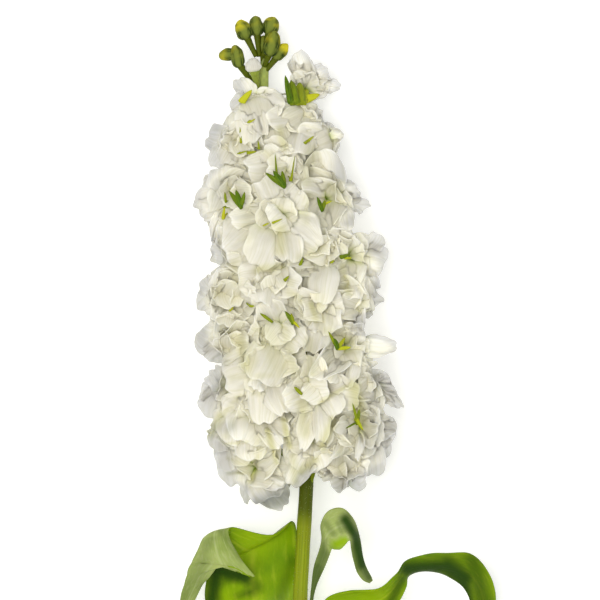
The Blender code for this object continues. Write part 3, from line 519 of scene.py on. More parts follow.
LEAF_RIGHT = (
    ((3.4, 145.0, 21.0), (3.8, 143.0, 20.0), 0.0),
    ((8.5, 159.5, 24.0), (14.0, 147.0, 19.0), -1.5),
    ((17.0, 162.8, 28.0), (24.0, 151.0, 22.0), -2.0),
    ((26.5, 163.2, 31.0), (32.5, 156.5, 26.0), -1.5),
    ((33.3, 168.8, 35.0), (37.0, 164.5, 29.0), -1.0),
    ((37.8, 174.2, 38.0), (38.8, 168.8, 31.0), 1.0),
    ((48.5, 176.0, 38.0), (47.0, 170.2, 31.0), 1.5),
    ((59.6, 176.4, 35.0), (54.5, 166.8, 29.0), 1.5),
    ((66.8, 168.6, 30.0), (59.0, 161.0, 25.0), 1.0),
    ((68.6, 157.0, 22.0), (61.0, 152.0, 18.0), 0.6),
    ((65.0, 145.0, 11.0), (62.0, 143.5, 10.0), 0.0),
)


@dataclass(frozen=True)
class Stroke:
    """A stretch of a leaf or petal with painted shade (above 0), darker than the rest, or painted light
    (below 0), brighter than the rest.

    Its ends and its half-width are in the picture's pixels, and it shows only on the part of
    the sheet's length that it names.
    """

    start: tuple[float, float]
    end: tuple[float, float]
    wide: float
    much: float
    part: tuple[float, float] = WHOLE_LENGTH


def strokes(*rows: tuple[float, ...], part: tuple[float, float] = WHOLE_LENGTH) -> tuple[Stroke, ...]:
    """Makes strokes from rows of numbers.

    Args:
        rows: For each, its start and its end in pixels, its half-width and how much it shows.
        part: The part of the sheet's length on which they show.

    Returns:
        The strokes.
    """
    return tuple(Stroke(row[:2], row[2:4], row[4], row[5], part) for row in rows)


# Painted shade (above 0) and painted light (below 0) on the leaves beside the stem: darker where they lie
# in the shade of their own arches and folds, brighter where they face the light.
STROKES_LEFT = (
    *strokes(
        (211, 602, 216, 574, 11, 1.0), (216, 570, 244, 577, 12, 1.0), (246, 578, 257, 588, 7, 0.6),
        part=(0.0, 0.42),
    ),
    *strokes((214, 532, 184, 598, 6, 0.3), part=(0.45, 1.0)),
    *strokes((204, 560, 196, 580, 9, 0.35), part=(0.5, 1.0)),
    *strokes((222, 532, 242, 560, 4, 0.3), part=(0.4, 0.6)),
    *strokes(
        (236, 594, 252, 592, 6, 0.7), (228, 592, 238, 589, 7, -0.6), (280, 600, 292, 560, 6, 0.4),
        (262, 545, 283, 540, 12, -0.4),
        part=(0.0, 0.45),
    ),
)
STROKES_MIDDLE = (
    *strokes((311, 600, 318, 566, 9, 0.8), (318, 566, 326, 546, 8, 0.7), part=(0.0, 0.42)),
    *strokes(
        (333, 545, 344, 540, 7, -1.0), (317, 518, 320, 546, 6, 0.5), (326, 522, 336, 536, 4, 0.35),
        (338, 522, 343, 534, 3, 0.4),
        part=(0.2, 0.8),
    ),
    *strokes((345, 519, 354, 534, 7, 1.0), part=(0.5, 1.0)),
    *strokes((354, 534, 362, 564, 9, 1.0), (362, 564, 369, 576, 7, 0.8), part=(0.6, 1.0)),
)
STROKES_RIGHT = (
    *strokes(
        (407, 568, 447, 566, 12, 1.0), (447, 566, 464, 578, 16, 1.0), (428, 556, 470, 557, 6, 0.5),
        (462, 578, 468, 612, 13, 1.0), (472, 560, 484, 604, 13, 0.75),
        part=(0.4, 1.0),
    ),
    *strokes((390, 604, 402, 578, 6, 0.75), part=(0.0, 0.5)),
    *strokes((325, 602, 372, 598, 8, -0.6), part=(0.0, 0.4)),
)

# Painted shade among the petals: strokes over hollows, where the petals are painted darker and greener,
# and over folds, where they are painted greyer.
HOLLOW_SHADE_STROKES = strokes(
    (252, 98, 264, 106, 6, 0.4), (280, 130, 284, 147, 5, 0.8), (262, 150, 272, 158, 4, 0.5),
    (312, 152, 306, 180, 9, 0.6), (330, 186, 340, 191, 6, 0.6), (308, 196, 306, 222, 5, 0.5),
    (318, 214, 326, 234, 4, 0.35), (260, 228, 282, 226, 5, 0.5), (281, 231, 281, 250, 8, 0.8),
    (251, 205, 246, 236, 9, 0.4), (271, 158, 280, 168, 7, 0.5), (249, 346, 254, 362, 9, 0.5),
    (240, 176, 218, 182, 6, 0.3), (257, 270, 284, 266, 5, 0.8), (234, 264, 236, 285, 6, 0.5),
    (302, 258, 325, 248, 7, 0.5), (342, 266, 348, 292, 5, 0.8), (352, 254, 370, 260, 5, 0.5),
    (290, 292, 300, 300, 6, 0.6), (276, 272, 292, 284, 5, 0.35), (318, 302, 326, 325, 11, 0.4),
    (311, 304, 316, 320, 4, 1.0), (217, 290, 221, 332, 7, 0.3), (264, 332, 280, 366, 15, 0.6),
    (242, 340, 247, 368, 8, 0.8), (230, 338, 226, 362, 6, 0.3), (284, 328, 295, 372, 7, 0.6),
    (309, 342, 311, 372, 7, 0.6), (327, 330, 350, 342, 6, 0.7), (320, 402, 346, 386, 3, 0.8),
    (302, 404, 305, 432, 7, 0.7), (333, 420, 322, 446, 6, 0.9), (354, 386, 360, 418, 9, 1.0),
    (284, 420, 290, 446, 4, 1.0), (268, 430, 277, 462, 4, 1.0), (257, 436, 262, 456, 8, 0.4),
    (293, 456, 295, 480, 5, 0.7), (301, 470, 314, 460, 6, 0.9), (258, 456, 252, 480, 4, 0.7),
    (240, 396, 213, 424, 3, 0.6), (221, 416, 209, 434, 6, 0.9), (233, 420, 226, 436, 4, 0.4),
    (226, 444, 248, 441, 2, 0.6), (228, 458, 250, 466, 2, 0.6), (228, 473, 250, 473, 2, 0.7),
    (250, 393, 262, 394, 2, 0.6), (232, 378, 276, 374, 4, 0.5), (340, 452, 342, 472, 7, 0.5),
    (260, 506, 292, 496, 8, 0.7),
)
FOLD_SHADE_STROKES = strokes(
    (216, 126, 208, 144, 13, 0.8), (206, 190, 206, 216, 8, 0.15), (218, 184, 216, 204, 9, 0.5),
    (244, 176, 214, 182, 6, 0.3), (312, 154, 308, 178, 8, 0.25), (330, 186, 340, 192, 6, 0.35),
    (212, 290, 218, 330, 9, 0.2), (202, 324, 200, 346, 11, 0.8), (383, 248, 386, 274, 10, 0.5),
    (309, 342, 312, 370, 6, 0.2), (340, 356, 342, 374, 5, 0.2), (373, 395, 378, 446, 11, 0.5),
    (342, 456, 344, 472, 9, 0.35), (367, 444, 372, 452, 7, 0.5), (330, 480, 372, 476, 7, 0.5),
    (258, 504, 292, 497, 14, 1.0), (210, 428, 230, 426, 10, 0.6),
)

# How much painted grey shade the petals get at the head's outline, where they turn away from the light,
# and over how many pixels that fades, and how much painted green shade the petals get that lie under the
# drawn ones.
EDGE_SHADE = 0.68
EDGE_SHADE_WIDE = 15.0
UNDER_SHADE = 0.25

# Leaves lower down: where each joins the stem, its side, length, width and arch.
LOWER_LEAVES = (
    (122.0, 1, 70.0, 16.0, 4.0),
    (113.0, -1, 84.0, 17.0, 14.0),
    (99.0, 1, 74.0, 16.0, 3.0),
    (84.0, -1, 78.0, 16.0, 9.0),
    (70.0, 1, 66.0, 14.0, 7.0),
    (55.0, -1, 62.0, 13.0, 4.0),
)

# Their cross-sections, the angle at which they leave the stem and how much further they bend out,
# the gap between leaf and stem, the height of their tips and the depth of their keels.
LOW_SECTIONS = 8
LOW_LEAN = math.radians(28)
LOW_BEND = math.radians(34)
LOW_GAP = 0.2
LOW_TIP = 4.0
LOW_KEEL = 1.2

# The upper outline of the head as seen from its end: how far it stands from the stem.
HEAD_RADII = (
    (190.0, 12.0), (195.0, 18.0), (205.5, 26.0), (216.0, 31.0), (230.0, 32.0), (247.5, 31.0),
    (265.0, 30.0), (282.5, 29.0), (300.0, 27.0), (310.0, 24.5), (324.0, 20.0), (338.0, 13.5),
    (349.0, 8.0),
)
LEAST_HEIGHT = 0.12
HEAD_TOP = 58.3

# How near the outline the drawn petals lie, how far under it the filling ones stay, and how the
# drawn ones are widened and bent.
DRAWN_DEPTH = 0.96
FILL_SHARE = 0.74
SIDE_SHARE = 0.98
DRAWN_WIDER = 1.34
USUAL_HALF = 5.5
KNEE_SHARE = 0.75

# The head's outline in the picture, in pixels: its left and right edge down the picture, and
# its crown and foot across it.
LEFT_EDGE = (
    (52, 288), (72, 284), (78, 238), (100, 238), (115, 225), (130, 208), (150, 213), (165, 216),
    (190, 197), (205, 193), (225, 204), (240, 211), (262, 222), (273, 205), (300, 200), (320, 204),
    (335, 194), (345, 203), (352, 217), (362, 221), (370, 216), (388, 216), (400, 212), (412, 208),
    (430, 205), (440, 213), (448, 225), (470, 229), (480, 230), (488, 246), (505, 246),
)
RIGHT_EDGE = (
    (52, 304), (72, 326), (86, 341), (100, 321), (122, 326), (134, 350), (150, 341), (177, 339),
    (186, 357), (206, 361), (225, 350), (233, 377), (248, 374), (265, 387), (288, 377), (310, 380),
    (316, 360), (334, 358), (341, 391), (349, 399), (360, 390), (368, 374), (378, 376), (392, 391),
    (408, 395), (425, 391), (440, 388), (462, 386), (474, 368), (484, 345), (505, 345),
)
CROWN = (
    (205, 124), (214, 118), (228, 104), (236, 80), (246, 90), (320, 92), (332, 98), (343, 112),
    (350, 125), (362, 190), (374, 232),
)
FOOT = (
    (205, 440), (216, 446), (226, 470), (232, 487), (246, 506), (265, 509), (276, 505), (288, 494),
    (296, 478), (301, 468), (313, 466), (319, 480), (345, 482), (360, 480), (372, 475), (386, 464),
    (394, 440),
)

# How softly petals give way at that outline, how far inside it they stay and how far it waves.
EDGE_GIVE = 2.0
EDGE_MARGIN = 0.8
EDGE_WAVE = 1.6
EDGE_GRAIN = 0.22

# How deep among the petals the stalks of green sepals start, and their radius there.
SEPAL_DEPTH = 7.0
SEPAL_RADIUS = 0.35

# The hairs of the bare stem: the stretch that has them, their lengths and their radius.
HAIRS_ALONG = (2.0, 204.0)
HAIR_LENGTHS = (0.35, 0.8)
HAIR_RADIUS = 0.04

# The petals that fill a bloom of the usual reach out: two rings with their number of petals, reach
# and half-width in pixels and rise in millimetres, and the small ones that cover its throat.
FILLING_RINGS = ((6, 27, 14, -3.6), (5, 18, 12, -2.6))
USUAL_REACH = 18.5
COVERS = 3

# Blooms whose green throats show open in the picture, and others that a neighbour's petal hides.
OPEN_THROATS = (1, 8, 12, 18, 25)
HIDDEN_THROATS = (6, 9, 17, 20, 21, 23, 24, 26, 27, 28)

# Where the sheets of one bloom look for strokes of painted shade: within this many pixels of its throat.
STROKE_RANGE = 75.0

Socket = bpy.types.NodeSocket
Material = bpy.types.Material
Thing = bpy.types.Object
Place = Callable[[float, float], Vector]
Sections = tuple[tuple[tuple[float, float, float], tuple[float, float, float], float], ...]


def read_off(table: tuple[tuple[float, float], ...], along: float) -> float:
    """Reads a table in straight steps between its rows.

    Args:
        table: Rows of a place and the value there.
        along: The place asked for.

    Returns:
        The value at that place.
    """
    if along <= table[0][0]:
        return table[0][1]
    for (start, low), (end, high) in zip(table, table[1:]):
        if along <= end:
            return low + (high - low) * (along - start) / (end - start)
    return table[-1][1]


def curve_through(points: Sequence[Vector], share: float) -> Vector:
    """Finds a place on the smooth curve through some points.

    Args:
        points: The points, evenly shared out along the curve.
        share: How far along it, from 0 to 1.

    Returns:
        The place on the curve.
    """
    place = min(max(share, 0.0), 1.0) * (len(points) - 1)
    index = min(int(place), len(points) - 2)
    t = place - index
    before, start = points[max(index - 1, 0)], points[index]
    end, after = points[index + 1], points[min(index + 2, len(points) - 1)]
    return (
        start * 2
        + (end - before) * t
        + (before * 2 - start * 5 + end * 4 - after) * t * t
        + (start * 3 - before - end * 3 + after) * t * t * t
    ) / 2


def stem_middle(along: float) -> Vector:
    """Finds the middle of the stem at a distance from its cut end.

    Args:
        along: The distance in millimetres.

    Returns:
        The point on the stem's middle line.
    """
    route = [Vector(point) for point in STEM_ROUTE]
    for index, (start, end) in enumerate(zip(route, route[1:])):
        if along <= end.y or end is route[-1]:
            t = (along - start.y) / (end.y - start.y)
            return curve_through(route, (index + min(t, 1.0)) / (len(route) - 1))
    return route[-1]


def ease(low: float, high: float, value: float) -> float:
    """Rises smoothly from 0 where the value is low to 1 where it is high."""
    t = min(max((value - low) / (high - low), 0.0), 1.0)
    return t * t * (3 - 2 * t)


def nearest_on_line(start: Vector, end: Vector, point: Vector) -> Vector:
    """Finds the place on a straight stretch that is nearest to a point.

    Args:
        start: One end of the stretch.
        end: Its other end.
        point: The point.

    Returns:
        The nearest place.
    """
    along = end - start
    share = (point - start).dot(along) / along.length_squared
    return start + along * min(max(share, 0.0), 1.0)


def head_height(across: float, along: float) -> float:
    """Finds how high the head's upper outline stands over a place on the floor.

    Args:
        across: The place across the plant.
        along: The place along it.

    Returns:
        The height of the outline there.
    """
    middle = stem_middle(along)
    radius = read_off(HEAD_RADII, along)
    aside = across - middle.x
    return middle.z + math.sqrt(max(radius**2 - aside**2, (LEAST_HEIGHT * radius) ** 2))


def across_at(column: float) -> float:
    """Finds the place across the plant that a column of the picture shows."""
    return PICTURE_MIDDLE[0] + (column - PICTURE_HALF) / PIXELS_PER_MM


def along_at(row: float) -> float:
    """Finds the place along the plant that a row of the picture shows."""
    return PICTURE_MIDDLE[1] - (row - PICTURE_HALF) / PIXELS_PER_MM


def from_picture(pixel: tuple[float, float], rise: float) -> Vector:
    """Finds the place on the head that a pixel of the picture shows.

    Args:
        pixel: The pixel, from the picture's upper left corner.
        rise: How far the place stands above the head's outline.

    Returns:
        The place in the plant's measure.
    """
    across, along = across_at(pixel[0]), along_at(pixel[1])
    return Vector((across, along, min(head_height(across, along) * DRAWN_DEPTH + rise, HEAD_TOP)))


def to_picture(across: float, along: float) -> tuple[float, float]:
    """Finds the pixel of the picture that shows a place across and along the plant."""
    column = PICTURE_HALF + (across - PICTURE_MIDDLE[0]) * PIXELS_PER_MM
    return column, PICTURE_HALF - (along - PICTURE_MIDDLE[1]) * PIXELS_PER_MM


def softly_below(value: float, most: float) -> float:
    """Holds a value below a limit, giving way softly.

    Args:
        value: The value.
        most: The limit.

    Returns:
        The value, drawn back if it comes near the limit.
    """
    start = most - EDGE_GIVE
    if value <= start:
        return value
    return most - EDGE_GIVE * math.exp((start - value) / EDGE_GIVE)


def within_outline(point: Vector) -> Vector:
    """Draws a point in from the outline that the head has in the picture.

    Args:
        point: The point.

    Returns:
        The point, inside the outline as seen from above.
    """
    column, row = to_picture(point.x, point.y)
    margin = EDGE_MARGIN + EDGE_WAVE * abs(noise.noise(point * EDGE_GRAIN))
    left, right = (across_at(read_off(edge, row)) for edge in (LEFT_EDGE, RIGHT_EDGE))
    crown, foot = (along_at(read_off(edge, column)) for edge in (CROWN, FOOT))
    across = softly_below(point.x, right - margin)
    across = -softly_below(-across, -(left + margin))
    along = softly_below(point.y, crown - margin)
    along = -softly_below(-along, -(foot + margin))
    return Vector((across, along, point.z))


def from_edge(column: float, row: float) -> float:
    """Measures how far inside the head's outline a place in the picture lies.

    Args:
        column: The pixel across the picture.
        row: The pixel down it.

    Returns:
        The distance in pixels, below 0 outside.
    """
    return min(
        column - read_off(LEFT_EDGE, row),
        read_off(RIGHT_EDGE, row) - column,
        read_off(FOOT, column) - row + 6.0,
    )


def stroked(marks: Iterable[Stroke], column: float, row: float, along: float) -> list[float]:
    """Works out what strokes leave at a pixel of the picture.

    Args:
        marks: The strokes.
        column: The pixel's place across the picture.
        row: Its place down the picture.
        along: How far along its sheet the place is.

    Returns:
        What each stroke leaves there, and 0.
    """
    spot = Vector((column, row, 0.0))
    left = [0.0]
    for stroke in marks:
        near = nearest_on_line(Vector((*stroke.start, 0.0)), Vector((*stroke.end, 0.0)), spot)
        away = (spot - near).length / stroke.wide
        low, high = stroke.part
        if away < 1.5 and low <= along <= high:
            left.append(stroke.much * (1 - ease(0.1, 1.5, away)))
    return left


def kept_under(point: Vector) -> Vector:
    """Draws a point of a filling petal back under the petals that the picture shows.

    Args:
        point: The point.

    Returns:
        The point, under the head's outline.
    """
    middle = stem_middle(point.y)
    away = Vector((point.x - middle.x, 0.0, point.z - middle.z))
    rising = ease(-6.0, 10.0, away.z)
    room = read_off(HEAD_RADII, point.y) * (SIDE_SHARE + (FILL_SHARE - SIDE_SHARE) * rising)
    used = (abs(away.x) + (away.length - abs(away.x)) * rising) / room
    if used <= FREE_SHARE:
        return point
    left = 1.0 - FREE_SHARE
    held = FREE_SHARE + left * (1.0 - math.exp((FREE_SHARE - used) / left))
    drawn_in = held / used
    away = Vector((away.x * drawn_in, 0.0, away.z * (1 - rising + rising * drawn_in)))
    return Vector((middle.x, point.y, middle.z)) + away


class Graph:
    """The node tree of one material in the making."""

    def __init__(self, name: str) -> None:
        """Starts a material with a Principled shader.

        Args:
            name: The material's name.
        """
        self.material = bpy.data.materials.new(name)
        self.material.use_nodes = True
        self.tree = self.material.node_tree
        self.shader = self.tree.nodes["Principled BSDF"]

    def node(self, kind: str, **settings: object) -> bpy.types.Node:
        """Adds a node.

        Args:
            kind: The node's type, without its common start.
            settings: Properties to set on it.

        Returns:
            The new node.
        """
        made = self.tree.nodes.new(f"ShaderNode{kind}")
        for name, value in settings.items():
            setattr(made, name, value)
        return made

    def link(self, start: Socket, end: Socket) -> None:
        """Joins two sockets."""
        self.tree.links.new(start, end)

    def mark(self, name: str) -> Socket:
        """Reads one of a piece's own marks by its name."""
        return self.node("Attribute", attribute_name=name).outputs["Fac"]

    def place(self) -> Socket:
        """Gives the piece's own coordinates."""
        return self.node("TexCoord").outputs["Object"]

    def times(self, first: Socket, second: Socket | float) -> Socket:
        """Multiplies a value by another or by a number.

        Args:
            first: The value.
            second: What it is multiplied by.

        Returns:
            The socket with the result.
        """
        made = self.node("Math", operation="MULTIPLY")
        self.link(first, made.inputs[0])
        if isinstance(second, float):
            made.inputs[1].default_value = second
        else:
            self.link(second, made.inputs[1])
        return made.outputs[0]

    def rising(self, start: Socket, low: float, high: float) -> Socket:
        """Turns a value into a rise from 0 to 1.

        Args:
            start: The value.
            low: Where the rise starts.
            high: Where it ends.

        Returns:
            The socket with the result.
        """
        made = self.node("MapRange")
        self.link(start, made.inputs["Value"])
        made.inputs["From Min"].default_value = low
        made.inputs["From Max"].default_value = high
        return made.outputs["Result"]

    def speckle(self, at: Socket, scale: float, detail: float = 3.0) -> Socket:
        """Adds a noise pattern.

        Args:
            at: The coordinates that it reads.
            scale: How fine it is.
            detail: How many finer layers it has.

        Returns:
            The socket with its value.
        """
        made = self.node("TexNoise")
        self.link(at, made.inputs["Vector"])
        made.inputs["Scale"].default_value = scale
        made.inputs["Detail"].default_value = detail
        return made.outputs["Fac"]

    def fan(self, lines: float, stretch: float) -> Socket:
        """Gives coordinates in which a noise turns to lines that run along the piece.

        Args:
            lines: How many lines there are across it.
            stretch: How quickly they change along it.

        Returns:
            The socket with the coordinates.
        """
        made = self.node("CombineXYZ")
        self.link(self.times(self.mark("across"), lines), made.inputs["X"])
        self.link(self.times(self.mark("along"), stretch), made.inputs["Y"])
        self.link(self.times(self.mark("shade"), 40.0), made.inputs["Z"])
        return made.outputs["Vector"]

    def ramp(self, start: Socket, stops: tuple) -> Socket:
        """Turns a value into a colour.

        Args:
            start: The value.
            stops: Rows of a value and the colour there, or how light a grey.

        Returns:
            The socket with the colour.
        """
        made = self.node("ValToRGB")
        marks = made.color_ramp.elements
        while len(marks) < len(stops):
            marks.new(0.5)
        for mark, (value, colour) in zip(marks, stops):
            mark.position = value
            mark.color = (*(colour if isinstance(colour, tuple) else (colour,) * 3), 1.0)
        self.link(start, made.inputs["Fac"])
        return made.outputs["Color"]

    def blend(
        self,
        share: Socket | float,
        first: Socket | tuple,
        second: Socket | tuple,
        way: str = "MIX",
    ) -> Socket:
        """Mixes two colours.

        Args:
            share: How much of the second shows.
            first: The first colour.
            second: The second colour.
            way: How they are mixed.

        Returns:
            The socket with the mixed colour.
        """
        made = self.node("Mix", data_type="RGBA", blend_type=way)
        if isinstance(share, float):
            made.inputs["Factor"].default_value = share
        else:
            self.link(share, made.inputs["Factor"])
        for name, colour in (("A", first), ("B", second)):
            socket = [s for s in made.inputs if s.name == name and s.type == "RGBA"][0]
            if isinstance(colour, tuple):
                socket.default_value = (*colour, 1.0)
            else:
                self.link(colour, socket)
        return [s for s in made.outputs if s.type == "RGBA"][0]

    def bump(self, height: Socket, strength: float, distance: float) -> None:
        """Gives the surface a relief.

        Args:
            height: The pattern of the relief.
            strength: How much of it shows.
            distance: How deep it is, in millimetres.
        """
        made = self.node("Bump")
        made.inputs["Strength"].default_value = strength
        made.inputs["Distance"].default_value = distance * MM
        self.link(height, made.inputs["Height"])
        self.link(made.outputs["Normal"], self.shader.inputs["Normal"])

    def finish(self, colour: Socket, roughness: float, shine: float) -> None:
        """Gives the shader its colour.

        Args:
            colour: The socket with the colour.
            roughness: How rough the surface is.
            shine: How much it shines.
        """
        self.link(colour, self.shader.inputs["Base Color"])
        self.shader.inputs["Roughness"].default_value = roughness
        self.shader.inputs["Specular IOR Level"].default_value = shine

    def soften(self, much: float, depth: float, reach: tuple = (1.0, 0.2, 0.1)) -> None:
        """Lets light into the surface.

        Args:
            much: How much of it goes in.
            depth: How deep, in millimetres.
            reach: How far red, green and blue light goes, as shares of the depth.
        """
        self.shader.inputs["Subsurface Weight"].default_value = much
        self.shader.inputs["Subsurface Radius"].default_value = reach
        self.shader.inputs["Subsurface Scale"].default_value = depth * MM


@dataclass(frozen=True)
class PetalFinish:
    """Thin white petals, greenish at the claw, with faint veins that fan out to the rim, and painted
    shade: greener and darker in the hollows among the petals, greyer in the folds and at the head's
    outline.
    """

    name: str = "petal_tissue"
    claw: tuple = (0.24, 0.36, 0.03)
    throat: tuple = (0.78, 0.82, 0.45)
    warm: tuple = (0.95, 0.915, 0.77)
    cool: tuple = (0.95, 0.93, 0.82)
    roughness: float = 0.6
    shine: float = 0.25
    # The next two colours are painted shade, multiplied in: a greener one for the hollows among the
    # petals and under the drawn ones, a greyer one for the folds and the head's outline.
    hollow_shade: tuple = (0.66, 0.66, 0.42)
    grey_shade: tuple = (0.37, 0.38, 0.46)
    glow: float = 0.75
    depth: float = 1.7

    def material(self) -> Material:
        """Builds the material.

        Returns:
            The material.
        """
        graph = Graph(self.name)
        patches = graph.speckle(graph.place(), 70.0, 2.0)
        limb = graph.blend(patches, self.warm, self.cool)
        veins = graph.speckle(graph.fan(9.0, 0.9), 1.0, 3.0)
        lined = graph.ramp(veins, ((0.38, (0.86, 0.86, 0.77)), (0.56, (1.0, 1.0, 1.0))))
        veined = graph.blend(0.75, limb, lined, "MULTIPLY")
        # The claw's green runs up into the limb: real colour at the claw, and further up it also paints a
        # greenish shade into the crevices between petals.
        base = graph.ramp(
            graph.mark("along"),
            ((0.0, self.claw), (0.12, self.claw), (0.26, self.throat), (0.5, self.cool)),
        )
        white = graph.blend(graph.rising(graph.mark("along"), 0.2, 0.6), base, veined)
        # Painted shade: one mark darkens and greens the petals in the hollows and under the drawn ones,
        # the other greys them in the folds and at the head's outline.
        hollowed = graph.blend(graph.mark("deep"), white, self.hollow_shade, "MULTIPLY")
        colour = graph.blend(graph.mark("grey_shade"), hollowed, self.grey_shade, "MULTIPLY")
        graph.finish(colour, self.roughness, self.shine)
        graph.soften(self.glow, self.depth, (0.8, 0.85, 1.0))
        graph.bump(veins, 0.2, 0.25)
        return graph.material


@dataclass(frozen=True)
class StemFinish:
    """A fleshy downy stem, yellow-green with an olive flush and darker streaks, and painted shade just
    below the head.
    """

    name: str = "stem_skin"
    light: tuple = (0.28, 0.34, 0.012)
    dark: tuple = (0.16, 0.22, 0.004)
    flush: tuple = (0.22, 0.22, 0.015)
    pith: tuple = (0.55, 0.60, 0.30)
    # A dark green: painted shade on the stem just below the head, where the head's shadow falls; it also
    # darkens the bud stalks.
    deep: tuple = (0.045, 0.06, 0.002)
    roughness: float = 0.55
    shine: float = 0.1
    glow: float = 0.1
    depth: float = 1.0

    def material(self) -> Material:
        """Builds the material.

        Returns:
            The material.
        """
        graph = Graph(self.name)
        streaks = graph.speckle(graph.fan(3.0, 6.0), 1.5, 4.0)
        green = graph.ramp(streaks, ((0.35, self.dark), (0.62, self.light)))
        patches = graph.ramp(graph.speckle(graph.place(), 45.0, 2.0), ((0.45, 0.0), (0.75, 0.7)))
        skin = graph.blend(patches, green, self.flush)
        paler = graph.blend(graph.mark("shade"), skin, self.pith)
        colour = graph.blend(graph.mark("deep"), paler, self.deep)
        graph.finish(colour, self.roughness, self.shine)
        graph.soften(self.glow, self.depth)
        graph.bump(streaks, 0.35, 0.3)
        return graph.material


@dataclass(frozen=True)
class LeafFinish:
    """A strap leaf: a paler midrib, side veins at a slant, a soft shine, and painted shade and painted
    light from the strokes.
    """

    name: str = "leaf_upper"
    light: tuple = (0.24, 0.37, 0.001)
    dark: tuple = (0.14, 0.26, 0.001)
    rib: tuple = (0.36, 0.46, 0.02)
    # Painted shade and painted light colours: a dark green where the leaf lies in the shade of its arches
    # and folds, a brighter green where it faces the light.
    deep: tuple = (0.02, 0.055, 0.001)
    painted_light: tuple = (0.25, 0.40, 0.001)
    roughness: float = 0.45
    shine: float = 0.1
    glow: float = 0.1
    depth: float = 1.5

    def material(self) -> Material:
        """Builds the material.

        Returns:
            The material.
        """
        graph = Graph(self.name)
        patches = graph.speckle(graph.place(), 60.0, 4.0)
        green = graph.ramp(patches, ((0.3, self.dark), (0.62, self.light)))
        veins = graph.speckle(graph.fan(9.0, 22.0), 1.0, 3.0)
        veined = graph.blend(graph.ramp(veins, ((0.5, 0.0), (0.72, 0.5))), green, self.rib)
        middle = graph.node("Math", operation="ABSOLUTE")
        graph.link(graph.mark("across"), middle.inputs[0])
        rib = graph.ramp(middle.outputs[0], ((0.02, 0.5), (0.10, 0.0)))
        bright = graph.blend(rib, veined, self.rib)
        # Painted shade where the mark is above 0, painted light where it is below 0.
        darker = graph.blend(graph.mark("deep"), bright, self.deep)
        colour = graph.blend(graph.times(graph.mark("deep"), -1.0), darker, self.painted_light)
        graph.finish(colour, self.roughness, self.shine)
        graph.soften(self.glow, self.depth, (0.5, 1.0, 0.1))
        graph.bump(veins, 0.5, 0.4)
        return graph.material


@dataclass(frozen=True)
class BudFinish:
    """Closed sepals: dark downy green with paler edges, and yellow at the tip."""

    name: str = "bud_sepals"
    dark: tuple = (0.02, 0.04, 0.004)
    light: tuple = (0.17, 0.21, 0.03)
    tip: tuple = (0.56, 0.50, 0.02)
    roughness: float = 0.7
    shine: float = 0.1

    def material(self) -> Material:
        """Builds the material.

        Returns:
            The material.
        """
        graph = Graph(self.name)
        edges = graph.ramp(graph.mark("across"), ((0.2, self.dark), (0.85, self.light)))
        mottle = graph.speckle(graph.fan(8.0, 3.0), 1.0, 3.0)
        patchy = graph.ramp(mottle, ((0.44, 0.0), (0.6, 0.85)))
        mottled = graph.blend(patchy, edges, self.light)
        up = graph.rising(graph.mark("along"), 0.42, 0.72)
        spotty = graph.ramp(graph.speckle(graph.place(), 260.0, 1.0), ((0.36, 0.1), (0.56, 1.0)))
        yellow = graph.times(graph.times(up, graph.mark("shade")), spotty)
        colour = graph.blend(yellow, mottled, self.tip)
        graph.finish(colour, self.roughness, self.shine)
        graph.bump(mottle, 0.4, 0.3)
        return graph.material


@dataclass(frozen=True)
class FloorFinish:
    """A plain pale studio floor."""

    name: str = "studio_floor"
    pale: tuple = (0.93, 0.93, 0.925)
    paler: tuple = (0.95, 0.95, 0.945)
    glow: float = 0.3
    roughness: float = 0.9
    shine: float = 0.1

    def material(self) -> Material:
        """Builds the material.

        Returns:
            The material.
        """
        graph = Graph(self.name)
        colour = graph.blend(graph.speckle(graph.place(), 3.0), self.pale, self.paler)
        graph.finish(colour, self.roughness, self.shine)
        graph.shader.inputs["Emission Color"].default_value = (1.0, 1.0, 1.0, 1.0)
        graph.shader.inputs["Emission Strength"].default_value = self.glow
        return graph.material


